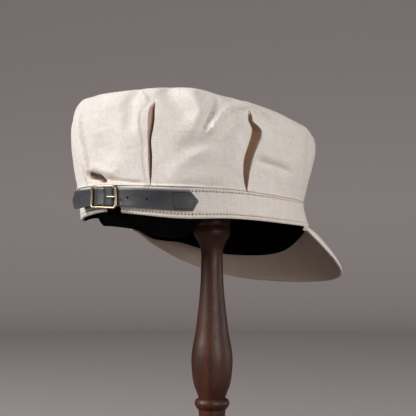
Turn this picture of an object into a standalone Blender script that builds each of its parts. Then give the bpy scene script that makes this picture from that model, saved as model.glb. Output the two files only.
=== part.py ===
"""A cream denim work cap on a turned wood hat stand, in metres, +Z up, with the peak towards -Y.

Bearings are degrees round the cap: 0 at the back, 90 at the wearer's right, 180 at the front.
"""

import math

import bmesh
import bpy
from mathutils import Matrix, Vector

# The cloth cap
HEAD_HALF_LENGTH = 0.0975
HEAD_HALF_WIDTH = 0.0848
CROWN_HEIGHT = 0.095
CLOTH_WALL = 0.0015
BAND_HEIGHT = 0.021
BAND_WALL = 0.0020
BAND_EDGE_RISE = 0.0040
BACK_GAP = 0.0160
BACK_GAP_PLACE = -0.0080
CROWN_TUCK = 0.006
PLEAT_WIDTH = 0.0080
PLEAT_DEPTH = 0.0120
PANEL_PUFF = 0.0020
PUFF_START = 0.05
PUFF_RISE = 0.40
TURN_START = 0.88
TURN_SPAN = 0.14

# The peak
PEAK_LENGTH = 0.068
PEAK_WALL = 0.0030
PEAK_HALF_SPREAD = 74.0
PEAK_ARCH = 0.0035

# The leather
SWEATBAND_WALL = 0.0012
SWEATBAND_HANG = 0.0215
STRAP_WIDTH = 0.0142
STRAP_WALL = 0.0018
STRAP_POINT = 0.0050
STRAP_HOLE_RADIUS = 0.0011
STRAP_HOLE_SPACING = 0.0145
STRAP_FIRST_HOLE = 0.0078
STRAP_RIGHT_REACH = 0.0708
STRAP_TIP_REACH = 0.0395
STRAP_TIP_LIFT = 0.0080
STRAP_HEIGHT_SHARE = 0.575
STRAP_TILT = 0.0028
STRAP_TILT_REACH = 0.045
KEEPER_REACH = 0.0260
KEEPER_WALL = 0.0015
KEEPER_DROP = 0.0012
KEEPER_RAMP_START = 0.0070
KEEPER_RAMP_LENGTH = 0.0055

# The buckle
BUCKLE_LENGTH = 0.0235
BUCKLE_EASE = 0.0007
BUCKLE_WIRE = 0.0018
BUCKLE_CORNER = 0.0026
BUCKLE_PLACE = -0.0104
PRONG_WIRE = 0.0016

# The stand, and how the cap sits on it
STAND_HEIGHT = 0.3137
STAND_FOOT_RADIUS = 0.0650
STAND_BULB_RADIUS = 0.0166
STAND_CUP_RADIUS = 0.0150
STAND_NECK_RADIUS = 0.0087
STAND_POST_RADIUS = 0.0110
STAND_HEAD_RADIUS = 0.0360
STAND_HEAD_CROWN = 0.0120
STAND_HEAD_EDGE = 0.0050
STAND_HEAD_UNDERCUT = 0.0070
CAP_PITCH = math.radians(3.0)
CAP_BACK_SET = 0.021

CLEARANCE = 0.0003

# How finely the pieces are divided
STAND_STEPS = 24
WIRE_SIDES = 8
PANEL_COLUMNS = 5
BAND_COLUMNS = 36
BAND_ROWS = 3
SWEATBAND_COLUMNS = 64
SWEATBAND_ROWS = 6
PEAK_COLUMNS = 30
PEAK_ROWS = 5
STRAP_ROWS = 3
STRAP_BUCKLED_COLUMNS = 34
STRAP_PLAIN_COLUMNS = 10
KEEPER_COLUMNS = 16
HEAD_ROWS = 7
CORNER_STEPS = 4

# The rim, where the side turns into the top: its height at each bearing, as a share of CROWN_HEIGHT
RIM_HEIGHTS = (
    (-57.0, 0.950),
    (-12.0, 0.952),
    (33.0, 0.984),
    (50.0, 0.929),
    (65.0, 0.899),
    (90.0, 0.815),
    (123.0, 0.748),
    (180.0, 0.735),
    (240.0, 0.812),
    (270.0, 0.880),
)

# The band's edges rise and fall: bearing, and the lower and the upper edge's rise as shares of
# BAND_EDGE_RISE
EDGE_RISES = (
    (-57.0, -0.15, 0.10),
    (-30.0, 0.35, 0.20),
    (-12.0, 0.85, 0.18),
    (0.0, 0.60, 0.15),
    (30.0, -0.25, 0.00),
    (55.0, 0.10, 0.00),
    (90.0, -0.10, -0.50),
    (123.0, 0.00, -0.55),
    (180.0, 0.00, -0.50),
    (235.0, 0.10, -0.20),
    (262.0, 0.90, 0.30),
    (284.0, 0.90, 0.30),
)

# The form under the band: height as a share of BAND_HEIGHT, girth as a share of the opening, and
# lean towards the back as a share of HEAD_HALF_LENGTH
BAND_SECTIONS = (
    (0.00, 0.983, 0.015),
    (0.35, 0.972, 0.042),
    (0.70, 0.966, 0.068),
    (1.00, 0.966, 0.090),
)

# Sections of the crown from the band up its side and over its top: height as a share of the way
# from the band to the rim, girth and lean as for the band
CROWN_SECTIONS = (
    (0.000, 0.966, 0.090),
    (0.020, 0.989, 0.092),
    (0.110, 1.001, 0.094),
    (0.260, 1.019, 0.092),
    (0.420, 1.038, 0.083),
    (0.580, 1.056, 0.076),
    (0.720, 1.067, 0.064),
    (0.840, 1.066, 0.051),
    (0.930, 1.056, 0.042),
    (0.985, 1.032, 0.037),
    (1.025, 0.972, 0.034),
    (1.055, 0.880, 0.032),
    (1.082, 0.720, 0.030),
    (1.100, 0.520, 0.028),
    (1.110, 0.300, 0.026),
    (1.112, 0.100, 0.025),
)
RIM_SECTION = 9

# Sections up a pleat: height as for the crown, sideways shift in degrees, and the opening and
# depth as shares of PLEAT_WIDTH and PLEAT_DEPTH
SLIM_PLEAT = (
    (-0.20, 0.0, 0.12, 0.03),
    (0.02, 0.0, 0.16, 0.30),
    (0.25, 0.0, 0.40, 0.70),
    (0.50, -0.2, 0.60, 0.90),
    (0.72, -0.2, 0.80, 0.85),
    (0.86, 0.0, 0.60, 0.40),
    (0.96, 0.2, 0.90, 0.00),
    (1.12, 0.0, 2.00, 0.00),
)
OPEN_PLEAT = (
    (-0.20, 0.0, 0.12, 0.03),
    (0.02, 0.0, 0.25, 0.35),
    (0.18, -0.4, 0.75, 0.85),
    (0.40, 0.6, 1.00, 1.00),
    (0.60, 3.2, 1.05, 1.00),
    (0.72, 3.6, 0.95, 0.80),
    (0.82, 1.2, 0.40, 0.35),
    (0.93, 0.6, 0.70, 0.00),
    (1.12, 0.0, 2.00, 0.00),
)
LEANING_PLEAT = (
    (-0.20, 5.0, 0.12, 0.03),
    (0.02, 5.0, 0.14, 0.25),
    (0.25, 2.0, 0.25, 0.55),
    (0.50, 0.0, 0.30, 0.70),
    (0.72, -2.5, 0.30, 0.55),
    (0.86, -6.5, 0.30, 0.25),
    (0.96, -8.0, 0.60, 0.00),
    (1.12, -8.0, 2.00, 0.00),
)
PLEATS = (
    (18.5, SLIM_PLEAT),
    (66.0, OPEN_PLEAT),
    (124.0, SLIM_PLEAT),
    (222.0, SLIM_PLEAT),
    (275.0, OPEN_PLEAT),
    (330.0, LEANING_PLEAT),
)

# Across a pleat: place as a share of half its opening, and depth as a share of its own
PLEAT_FOLD = (
    (-1.8, -0.04),
    (-1.0, 0.00),
    (-0.6, 0.85),
    (0.0, 1.00),
    (0.6, 0.85),
    (1.0, 0.00),
    (1.8, -0.04),
)

# Soft dents: bearing, height as for the crown, reach across in degrees and up as a share of that
# height, and depth as a share of PLEAT_DEPTH
DENTS = (
    (-9.0, 0.12, 5.0, 0.07, 0.35),
    (44.0, 0.66, 6.0, 0.18, 0.22),
    (40.0, 0.42, 6.0, 0.14, 0.12),
    (84.0, 0.48, 11.0, 0.08, 0.12),
    (10.0, 0.95, 4.0, 0.12, 0.12),
)

# Below the band, the sweatband hangs: bearing, and length as a share of SWEATBAND_HANG
SWEATBAND_HANGS = (
    (-22.5, 0.00),
    (-20.5, 0.02),
    (-18.5, 0.36),
    (-15.0, 0.48),
    (5.0, 0.53),
    (12.0, 0.62),
    (24.0, 0.68),
    (32.0, 0.62),
    (37.0, 0.40),
    (41.0, 0.08),
    (45.0, 0.00),
    (118.0, 0.00),
    (138.0, 0.36),
    (153.0, 0.76),
    (168.0, 0.95),
    (182.0, 1.00),
    (198.0, 0.98),
    (213.0, 0.82),
    (228.0, 0.57),
    (243.0, 0.52),
    (256.0, 0.20),
    (266.0, 0.00),
    (337.5, 0.00),
)
SWEATBAND_TUCK_IN = 0.22

# The peak's free edge: bearing as a share of PEAK_HALF_SPREAD from the front, then its reach
# sideways, forward and down as shares of HEAD_HALF_WIDTH, PEAK_LENGTH and PEAK_LENGTH
PEAK_EDGE = (
    (0.00, 0.000, 0.800, -0.600),
    (0.20, 0.270, 0.780, -0.590),
    (0.40, 0.550, 0.660, -0.560),
    (0.55, 0.775, 0.370, -0.490),
    (0.70, 0.920, -0.130, -0.350),
    (0.85, 0.980, -0.610, -0.190),
    (0.95, 0.995, -0.910, -0.070),
    (1.00, 1.010, -1.050, -0.025),
)

# The turned stand under its post: what its radius follows, the radius as a share of that, and the
# height as a share of STAND_HEIGHT
STAND_TURNING = (
    ("post", 1.00, 0.754),
    ("cup", 0.97, 0.744),
    ("cup", 1.00, 0.731),
    ("cup", 0.90, 0.726),
    ("cup", 0.98, 0.719),
    ("cup", 1.00, 0.705),
    ("cup", 0.79, 0.690),
    ("neck", 1.10, 0.672),
    ("neck", 1.01, 0.658),
    ("neck", 1.00, 0.639),
    ("neck", 1.10, 0.562),
    ("bulb", 0.79, 0.459),
    ("bulb", 0.94, 0.415),
    ("bulb", 1.00, 0.382),
    ("bulb", 0.95, 0.342),
    ("bulb", 0.87, 0.318),
    ("bulb", 0.77, 0.305),
    ("bulb", 0.62, 0.285),
    ("cup", 0.86, 0.282),
    ("cup", 0.93, 0.272),
    ("cup", 0.86, 0.261),
    ("neck", 1.25, 0.255),
    ("neck", 1.20, 0.224),
    ("neck", 1.40, 0.179),
    ("foot", 0.26, 0.141),
    ("foot", 0.38, 0.109),
    ("foot", 0.42, 0.099),
    ("foot", 0.60, 0.083),
    ("foot", 0.86, 0.054),
    ("foot", 0.97, 0.035),
    ("foot", 1.00, 0.019),
    ("foot", 0.98, 0.000),
)

COLOURS = {
    "cream_cloth": ((0.80, 0.74, 0.66), 0.90, 0.0),
    "black_leather": ((0.022, 0.022, 0.025), 0.50, 0.0),
    "antique_brass": ((0.62, 0.47, 0.27), 0.35, 1.0),
    "dark_wood": ((0.060, 0.026, 0.017), 0.38, 0.0),
}


def remove_objects():
    for obj in list(bpy.data.objects):
        bpy.data.objects.remove(obj, do_unlink=True)


def material(name):
    colour, roughness, metallic = COLOURS[name]
    made = bpy.data.materials.get(name) or bpy.data.materials.new(name)
    made.use_nodes = True
    shader = made.node_tree.nodes["Principled BSDF"]
    shader.inputs["Base Color"].default_value = (*colour, 1.0)
    shader.inputs["Roughness"].default_value = roughness
    shader.inputs["Metallic"].default_value = metallic
    return made


def smooth_value(rows, place, column=1, period=None):
    """The column's value at this place in a table sorted by its first column, on a smooth curve."""
    if period:
        place = (place - rows[0][0]) % period + rows[0][0]
        first, last = rows[-1], rows[0]
        rows = ((first[0] - period, *first[1:]), *rows, (last[0] + period, *last[1:]))
    place = min(max(place, rows[0][0]), rows[-1][0])
    index = max(i for i in range(len(rows) - 1) if rows[i][0] <= place)
    low, high = rows[index], rows[index + 1]
    span = high[0] - low[0]
    share = (place - low[0]) / span
    before = rows[max(index - 1, 0)]
    after = rows[min(index + 2, len(rows) - 1)]
    rise = high[column] - low[column]
    slopes = []
    for near, far in ((before, high), (low, after)):
        slope = (far[column] - near[column]) / (far[0] - near[0]) * span
        limit = 2.5 * abs(rise)
        slopes.append(min(max(slope, -limit), limit))
    a, b = slopes
    return low[column] + share * (a + share * ((3 * rise - 2 * a - b) + share * (a + b - 2 * rise)))


def rim_height(bearing):
    return CROWN_HEIGHT * smooth_value(RIM_HEIGHTS, bearing, period=360.0)


def mean_rim_height():
    return CROWN_HEIGHT * sum(share for _, share in RIM_HEIGHTS) / len(RIM_HEIGHTS)


def edge_rise(bearing, share):
    """How far the band lies over its level, at this share of the way from its lower to its upper edge."""
    lower, upper = (smooth_value(EDGE_RISES, bearing, column, period=360.0) for column in (1, 2))
    return BAND_EDGE_RISE * (lower + (upper - lower) * share)


def cap_frame():
    """The cap's own frame, in which its opening is level, before it is set on the stand."""
    return Matrix.Rotation(CAP_PITCH, 4, "X")


def outward(bearing):
    turn = math.radians(bearing)
    return Vector((-HEAD_HALF_LENGTH * math.sin(turn), HEAD_HALF_WIDTH * math.cos(turn), 0)).normalized()


def form_point(bearing, girth, lean, height, out=0.0):
    turn = math.radians(bearing)
    centre = Vector((0, lean * HEAD_HALF_LENGTH, height))
    ring = Vector((-HEAD_HALF_WIDTH * math.sin(turn), HEAD_HALF_LENGTH * math.cos(turn), 0))
    return centre + ring * girth + outward(bearing) * out


def side_point(bearing, height, out=0.0):
    """A point on the form under the band, at this height over its lower edge and this far outside."""
    share = height / BAND_HEIGHT
    girth, lean = (smooth_value(BAND_SECTIONS, share, column) for column in (1, 2))
    return form_point(bearing, girth, lean, height + edge_rise(bearing, min(max(share, 0.0), 1.0)), out)


def dent_depth(bearing, share):
    depth = 0.0
    for middle, height, across, up, deep in DENTS:
        turn = (bearing - middle + 180.0) % 360.0 - 180.0
        depth += deep * math.exp(-((turn / across) ** 2) - ((share - height) / up) ** 2)
    return depth * PLEAT_DEPTH


def crown_columns(share, girth, wall):
    """Round one section of the crown: each column's bearing, and how deep it lies in its pleat."""
    radius = girth * (HEAD_HALF_LENGTH + HEAD_HALF_WIDTH) / 2
    folds = []
    for middle, rows in PLEATS:
        half = PLEAT_WIDTH / 2 * smooth_value(rows, share, 2) + wall
        half = math.degrees(half / radius) if share < 1.0 else half / PLEAT_WIDTH * 5.0
        centre = middle + smooth_value(rows, share, 1)
        depth = PLEAT_DEPTH * smooth_value(rows, share, 3)
        folds.append([(centre + place * half, deep * depth) for place, deep in PLEAT_FOLD])
    puff = PANEL_PUFF * min(max((share - PUFF_START) / PUFF_RISE, 0.0), 1.0)
    columns = []
    for fold, following in zip(folds, folds[1:] + folds[:1]):
        columns += fold
        start = fold[-1][0]
        stretch = (following[0][0] - start) % 360.0
        for step in range(1, PANEL_COLUMNS):
            part = step / PANEL_COLUMNS
            columns.append((start + stretch * part, -puff * math.sin(math.pi * part)))
    return columns


def tucked_ring(height, wall):
    """The crown's cloth behind the band, at this height over the band's lower edge."""
    share = (height - BAND_HEIGHT) / (CROWN_HEIGHT - BAND_HEIGHT)
    girth = smooth_value(BAND_SECTIONS, height / BAND_HEIGHT, 1)
    columns = crown_columns(share, girth, wall)
    return [side_point(bearing, height, -depth - wall) for bearing, depth in columns]


def crown_ring(section, wall):
    """One ring of the crown's cloth, its outer face with no wall and its inner face with one."""
    share, girth, lean = section
    rim_girth = CROWN_SECTIONS[RIM_SECTION][1]
    on_top = min(girth / rim_girth, 1.0) if share > TURN_START else 1.0
    turn_over = min(max((share - TURN_START) / TURN_SPAN, 0.0), 1.0)
    ring = []
    for bearing, depth in crown_columns(share, girth, wall):
        rim = rim_height(bearing) * on_top**2 + mean_rim_height() * (1 - on_top**2)
        edge = BAND_HEIGHT + edge_rise(bearing, 1.0) * (1 - min(share, 1.0))
        height = edge + share * (rim - BAND_HEIGHT)
        inward = (depth + dent_depth(bearing, share)) * on_top**2 + wall * (1 - turn_over)
        ring.append(form_point(bearing, girth, lean, height - wall * turn_over, -inward))
    return ring


def grid_faces(rows, columns, start, closed):
    """The faces of a grid of points numbered from start, row by row."""
    last = columns if closed else columns - 1
    for row in range(rows - 1):
        for column in range(last):
            beside = (column + 1) % columns
            here = start + row * columns
            yield (here + column, here + beside, here + columns + beside, here + columns + column)


def solid(name, points, faces, finish, place):
    mesh = bpy.data.meshes.new(name)
    mesh.from_pydata([tuple(point) for point in points], [], faces)
    work = bmesh.new()
    work.from_mesh(mesh)
    bmesh.ops.recalc_face_normals(work, faces=work.faces)
    work.to_mesh(mesh)
    work.free()
    mesh.shade_smooth()
    mesh.set_sharp_from_angle(angle=math.radians(50))
    mesh.materials.append(material(finish))
    made = bpy.data.objects.new(name, mesh)
    made.matrix_world = place
    bpy.context.scene.collection.objects.link(made)
    return made


def shell(name, outer, inner, finish, place, closed=False, poles=None):
    """A wall between two grids of points. Closed grids join their last column to the first, and
    poles close both grids at their last row."""
    rows, columns = len(outer), len(outer[0])
    points = [point for grid in (outer, inner) for row in grid for point in row]
    other = rows * columns
    faces = list(grid_faces(rows, columns, 0, closed)) + list(grid_faces(rows, columns, other, closed))
    span = range(columns if closed else columns - 1)
    ends = (0,) if poles else (0, (rows - 1) * columns)
    for end in ends:
        for column in span:
            beside = (column + 1) % columns
            faces.append((end + column, end + beside, other + end + beside, other + end + column))
    if poles:
        points += poles
        top = (rows - 1) * columns
        for column in span:
            beside = (column + 1) % columns
            faces.append((top + column, top + beside, 2 * other))
            faces.append((other + top + column, other + top + beside, 2 * other + 1))
    if not closed:
        for end in (0, columns - 1):
            for row in range(rows - 1):
                here, above = row * columns + end, (row + 1) * columns + end
                faces.append((here, above, other + above, other + here))
    return solid(name, points, faces, finish, place)


def tube(name, path, normals, radius, finish, place, closed=False):
    """A round wire along a path, whose rings stand on the given normals."""
    count = len(path)
    points = []
    for index, (point, normal) in enumerate(zip(path, normals)):
        before = path[index - 1] if closed or index else point
        after = path[(index + 1) % count] if closed or index < count - 1 else point
        side = normal.cross(after - before).normalized()
        up = (after - before).cross(side).normalized()
        for step in range(WIRE_SIDES):
            turn = 2 * math.pi * step / WIRE_SIDES
            points.append(point + side * radius * math.cos(turn) + up * radius * math.sin(turn))
    faces = list(grid_faces(count, WIRE_SIDES, 0, True))
    if closed:
        last = (count - 1) * WIRE_SIDES
        for step in range(WIRE_SIDES):
            beside = (step + 1) % WIRE_SIDES
            faces.append((last + step, last + beside, beside, step))
    else:
        faces += [tuple(range(WIRE_SIDES)), tuple(range((count - 1) * WIRE_SIDES, count * WIRE_SIDES))]
    return solid(name, points, faces, finish, place)


def combine(target, other, operation):
    """Applies a Boolean of the other object to the target, and leaves the other as a hidden guide."""
    other.hide_render = True
    other.display_type = "WIRE"
    modifier = target.modifiers.new(operation.title(), "BOOLEAN")
    modifier.operation = operation
    modifier.object = other


def make_crown(place):
    tucks = (BAND_HEIGHT - CROWN_TUCK, BAND_HEIGHT - CROWN_TUCK / 2)
    grids = []
    for wall in (0.0, CLOTH_WALL):
        tucked = [tucked_ring(height, wall) for height in tucks]
        grids.append(tucked + [crown_ring(section, wall) for section in CROWN_SECTIONS])
    top = sum(grids[0][-1], Vector()) / len(grids[0][-1])
    poles = [top, top - Vector((0, 0, CLOTH_WALL))]
    return shell("crown", *grids, "cream_cloth", place, closed=True, poles=poles)


def arc_table():
    """Rows of distance round the band's outer face, from the back towards the right, and bearing."""
    height, out = BAND_HEIGHT / 2, CLEARANCE + BAND_WALL
    rows, length, bearing, step = [], 0.0, 0.0, 2.0
    while bearing < 358.0:
        rows.append((length, bearing))
        length += (side_point(bearing + step, height, out) - side_point(bearing, height, out)).length
        bearing += step
    return rows, length + (side_point(0.0, height, out) - side_point(bearing, height, out)).length


ARC, ARC_LENGTH = arc_table()


def bearing_at(distance):
    wrapped = distance % ARC_LENGTH
    for (low, near), (high, far) in zip(ARC, ARC[1:] + [(ARC_LENGTH, 360.0)]):
        if low <= wrapped <= high:
            return near + (far - near) * (wrapped - low) / (high - low)
    return 0.0


def strap_middle():
    return BAND_HEIGHT * STRAP_HEIGHT_SHARE


def on_band(distance, height, out):
    """A point this far round the band from the back, over its lower edge, and off its outer face.
    Over the gap at the back the strap and its buckle tilt, lower edge outward."""
    drop = 0.5 + (strap_middle() - height) / STRAP_WIDTH
    fade = min(max(1 - distance / STRAP_TILT_REACH, 0.0), 1.0)
    tilt = STRAP_TILT * drop * fade
    return side_point(bearing_at(distance), height, CLEARANCE + BAND_WALL + out + tilt)


def make_band_half(name, start, end, place):
    grids = []
    for out in (CLEARANCE + BAND_WALL, CLEARANCE):
        rows = []
        for step in range(BAND_ROWS + 1):
            row = []
            for column in range(BAND_COLUMNS + 1):
                bearing = bearing_at(start + (end - start) * column / BAND_COLUMNS)
                row.append(side_point(bearing, BAND_HEIGHT * step / BAND_ROWS, out))
            rows.append(row)
        grids.append(rows)
    return shell(name, *grids, "cream_cloth", place)


def make_sweatband(place):
    """The leather band inside, whose lower edge hangs out in front and beside the gap at the back."""
    columns, rows = SWEATBAND_COLUMNS, SWEATBAND_ROWS
    top = BAND_HEIGHT - CROWN_TUCK - CLEARANCE
    start = SWEATBAND_HANGS[0][0]
    bearings = [start + 360.0 * column / columns for column in range(columns)]
    grids = []
    for wall in (0.0, SWEATBAND_WALL):
        grid = []
        for step in range(rows):
            row = []
            for bearing in bearings:
                hang = SWEATBAND_HANG * max(smooth_value(SWEATBAND_HANGS, bearing), 0.0)
                bottom = CLEARANCE - hang
                height = bottom + (top - bottom) * step / (rows - 1)
                below = max(-height, 0.0)
                row.append(side_point(bearing, height, -wall - below * SWEATBAND_TUCK_IN))
            grid.append(row)
        grids.append(grid)
    return shell("sweatband", *grids, "black_leather", place, closed=True)


def peak_edge(share):
    """The free edge at this share of the spread, from -1 at the wearer's left to 1 at the right."""
    side, forward, down = (smooth_value(PEAK_EDGE, abs(share), column) for column in (1, 2, 3))
    return Vector((
        -math.copysign(side, share) * HEAD_HALF_WIDTH,
        -HEAD_HALF_LENGTH - forward * PEAK_LENGTH,
        down * PEAK_LENGTH,
    ))


def make_peak(place):
    grids = ([], [])
    for row in range(PEAK_ROWS + 1):
        part = row / PEAK_ROWS
        for grid in grids:
            grid.append([])
        for column in range(PEAK_COLUMNS + 1):
            share = 2 * column / PEAK_COLUMNS - 1
            bearing = 180.0 - share * PEAK_HALF_SPREAD
            root = side_point(bearing, -CLEARANCE, CLEARANCE + BAND_WALL)
            edge = peak_edge(share)
            arch = PEAK_ARCH * 4 * part * (1 - part) * (1 - share**4)
            point = root.lerp(edge, part) + Vector((0, 0, arch))
            fall = Vector((edge.x - root.x, edge.y - root.y, 0)).length
            slope = math.atan2(root.z - edge.z, max(fall, 1e-6))
            under = -outward(bearing) * math.sin(slope) - Vector((0, 0, math.cos(slope)))
            grids[0][-1].append(point)
            grids[1][-1].append(point + under * PEAK_WALL)
    return shell("peak", *grids, "cream_cloth", place)


def strap_level(distance):
    """How far the strap's underside lies off the band: under the buckle's bars, over its middle bar."""
    half = BUCKLE_LENGTH / 2
    place = (distance - BUCKLE_PLACE) / half
    over_bar = frame_level(BUCKLE_PLACE) + BUCKLE_WIRE / 2 + CLEARANCE
    over_keeper = KEEPER_WALL + 2 * CLEARANCE
    side = CLEARANCE if place > 0 else over_keeper
    rows = ((0.0, over_bar), (0.25, over_bar), (0.70, side), (0.80, side), (1.2, side))
    past = min(place + 1.2, 0.0) * half / STRAP_TIP_REACH
    return smooth_value(rows, abs(place)) + STRAP_TIP_LIFT * past * past


def frame_level(distance):
    """The middle of the buckle's wire off the band: it leans out over the keeper at the left."""
    right = STRAP_WALL + 2 * CLEARANCE + BUCKLE_WIRE / 2
    left = right + KEEPER_WALL + CLEARANCE
    share = (BUCKLE_PLACE + BUCKLE_LENGTH / 2 - distance) / BUCKLE_LENGTH
    return right + (left - right) * share


def strip(name, stops, level, wall, middle, finish, place):
    """A flat strap along the band: stops are distances with the strap's width there."""
    grids = []
    for out in (wall, 0.0):
        grid = []
        for step in range(STRAP_ROWS + 1):
            across = step / STRAP_ROWS - 0.5
            grid.append([
                on_band(distance, middle + across * width, level(distance) + out) for distance, width in stops
            ])
        grids.append(grid)
    return shell(name, *grids, finish, place)


def strap_stops():
    """Stops from the free tip, left of the buckle, to the pointed anchor end at the right."""
    left, right = BUCKLE_PLACE - STRAP_TIP_REACH, BUCKLE_PLACE + STRAP_RIGHT_REACH
    blunt = STRAP_WIDTH * 0.10
    stops = [(left, blunt), (left + STRAP_POINT * 0.75, STRAP_WIDTH)]
    run = left + STRAP_POINT
    inner_end = BUCKLE_PLACE + BUCKLE_LENGTH * 0.6
    count = STRAP_BUCKLED_COLUMNS
    stops += [(run + (inner_end - run) * step / count, STRAP_WIDTH) for step in range(count + 1)]
    count = STRAP_PLAIN_COLUMNS
    last = right - STRAP_POINT
    stops += [(inner_end + (last - inner_end) * step / count, STRAP_WIDTH) for step in range(1, count + 1)]
    return stops + [(right, blunt)]


def prong_path():
    """From the middle bar, up through the strap and over the right bar."""
    right = BUCKLE_PLACE + (BUCKLE_LENGTH - BUCKLE_WIRE) / 2
    bar_top = frame_level(right) + BUCKLE_WIRE / 2 + PRONG_WIRE / 2 + CLEARANCE
    start = BUCKLE_PLACE + (BUCKLE_WIRE + PRONG_WIRE) / 2 + CLEARANCE
    low = frame_level(BUCKLE_PLACE)
    span = right - start
    return [
        (start, low),
        (start + span * 0.12, low + (bar_top - low) * 0.45),
        (start + span * 0.30, low + (bar_top - low) * 0.92),
        (start + span * 0.60, bar_top),
        (right, bar_top),
        (right + BUCKLE_WIRE * 0.8, bar_top),
    ]


def make_prong(name, radius, place):
    stops = prong_path()
    path = [on_band(distance, strap_middle(), out) for distance, out in stops]
    normals = [outward(bearing_at(distance)) for distance, _ in stops]
    return tube(name, path, normals, radius, "antique_brass", place)


def make_strap(place):
    strap = strip("strap", strap_stops(), strap_level, STRAP_WALL, strap_middle(), "black_leather", place)
    combine(strap, make_prong("prong_slot", PRONG_WIRE / 2 + CLEARANCE, place), "DIFFERENCE")
    first = BUCKLE_PLACE + BUCKLE_LENGTH / 2 + STRAP_FIRST_HOLE
    for index in range(2):
        distance = first + STRAP_HOLE_SPACING * index
        normal = outward(bearing_at(distance))
        centre = on_band(distance, strap_middle(), CLEARANCE + STRAP_WALL / 2)
        path = [centre - normal * STRAP_WALL, centre + normal * STRAP_WALL]
        upright = [Vector((0, 0, 1))] * 2
        cutter = tube(f"hole_{index}", path, upright, STRAP_HOLE_RADIUS, "black_leather", place)
        combine(strap, cutter, "DIFFERENCE")
    return strap


def make_keeper(place):
    """The short strap that holds the buckle's middle bar, under the free tip."""
    left = BUCKLE_PLACE - KEEPER_REACH
    bar = BUCKLE_PLACE
    under_bar = frame_level(bar) - BUCKLE_WIRE / 2 - CLEARANCE - KEEPER_WALL

    def level(distance):
        rise = min(max((distance - bar + KEEPER_RAMP_START) / KEEPER_RAMP_LENGTH, 0.0), 1.0)
        return CLEARANCE + (under_bar - CLEARANCE) * rise

    count = KEEPER_COLUMNS
    stops = [(left + (bar - left) * step / count, STRAP_WIDTH) for step in range(count + 1)]
    middle = strap_middle() - KEEPER_DROP
    return strip("strap_keeper", stops, level, KEEPER_WALL, middle, "black_leather", place)


def make_buckle(place):
    """The wire frame with its middle bar, one cast piece."""
    half_length = (BUCKLE_LENGTH - BUCKLE_WIRE) / 2
    half_height = (STRAP_WIDTH + BUCKLE_WIRE) / 2 + BUCKLE_EASE
    path, normals = [], []
    for side, up, turn in ((1, 1, 0.0), (-1, 1, 90.0), (-1, -1, 180.0), (1, -1, 270.0)):
        for step in range(CORNER_STEPS + 1):
            angle = math.radians(turn + 90.0 * step / CORNER_STEPS)
            distance = BUCKLE_PLACE + side * (half_length - BUCKLE_CORNER) + BUCKLE_CORNER * math.cos(angle)
            height = up * (half_height - BUCKLE_CORNER) + BUCKLE_CORNER * math.sin(angle)
            path.append(on_band(distance, strap_middle() + height, frame_level(distance)))
            normals.append(outward(bearing_at(distance)))
    frame = tube("buckle", path, normals, BUCKLE_WIRE / 2, "antique_brass", place, closed=True)
    level = frame_level(BUCKLE_PLACE)
    ends = [on_band(BUCKLE_PLACE, strap_middle() + up * half_height, level) for up in (-1, 1)]
    normal = outward(bearing_at(BUCKLE_PLACE))
    bar = tube("middle_bar", ends, [normal] * 2, BUCKLE_WIRE * 0.45, "antique_brass", place)
    combine(frame, bar, "UNION")
    return frame


def stand_profile():
    """Radius and height down the turned stand, from its head to its foot."""
    head = STAND_HEIGHT - STAND_HEAD_CROWN
    profile = [
        (STAND_HEAD_RADIUS * math.sin(turn), head + STAND_HEAD_CROWN * math.cos(turn))
        for turn in (math.radians(90.0 * step / HEAD_ROWS) for step in range(HEAD_ROWS + 1))
    ]
    profile += [(STAND_HEAD_RADIUS, head - STAND_HEAD_EDGE)]
    profile += [(STAND_POST_RADIUS, head - STAND_HEAD_EDGE - STAND_HEAD_UNDERCUT)]
    radii = {
        "post": STAND_POST_RADIUS,
        "cup": STAND_CUP_RADIUS,
        "neck": STAND_NECK_RADIUS,
        "bulb": STAND_BULB_RADIUS,
        "foot": STAND_FOOT_RADIUS,
    }
    profile += [(radii[kind] * share, height * STAND_HEIGHT) for kind, share, height in STAND_TURNING]
    return profile + [(0.0, 0.0)]


def make_stand():
    profile = stand_profile()
    mesh = bpy.data.meshes.new("stand")
    edges = [(index, index + 1) for index in range(len(profile) - 1)]
    mesh.from_pydata([(radius, 0.0, height) for radius, height in profile], edges, [])
    mesh.materials.append(material("dark_wood"))
    stand = bpy.data.objects.new("stand", mesh)
    bpy.context.scene.collection.objects.link(stand)
    turned = stand.modifiers.new("Turned", "SCREW")
    turned.steps = turned.render_steps = STAND_STEPS
    turned.use_merge_vertices = True
    turned.merge_threshold = 0.00005
    turned.use_smooth_shade = True
    return stand


def rest_on_stand():
    """Where the cap comes to rest: lowered until the crown's inner face is just over the head."""
    set_back = Matrix.Translation((0, CAP_BACK_SET, 0)) @ cap_frame()
    lowest = None
    for section in CROWN_SECTIONS[RIM_SECTION:]:
        for point in crown_ring(section, CLOTH_WALL):
            inside = set_back @ point
            reach = math.hypot(inside.x, inside.y) / STAND_HEAD_RADIUS
            if reach < 1.0:
                under_top = STAND_HEAD_CROWN * (1 - math.sqrt(1 - reach * reach))
                room = inside.z + under_top
                lowest = room if lowest is None else min(lowest, room)
    return Matrix.Translation((0, 0, STAND_HEIGHT + 2 * CLEARANCE - lowest)) @ set_back


def make_part():
    remove_objects()
    place = rest_on_stand()
    make_crown(place)
    gap_right, gap_left = BACK_GAP_PLACE + BACK_GAP / 2, BACK_GAP_PLACE - BACK_GAP / 2
    front = ARC_LENGTH / 2
    make_band_half("band_right", gap_right, front - CLEARANCE / 2, place)
    make_band_half("band_left", front + CLEARANCE / 2, ARC_LENGTH + gap_left, place)
    make_sweatband(place)
    make_peak(place)
    make_strap(place)
    make_keeper(place)
    make_buckle(place)
    make_prong("buckle_prong", PRONG_WIRE / 2, place)
    make_stand()


make_part()
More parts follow.
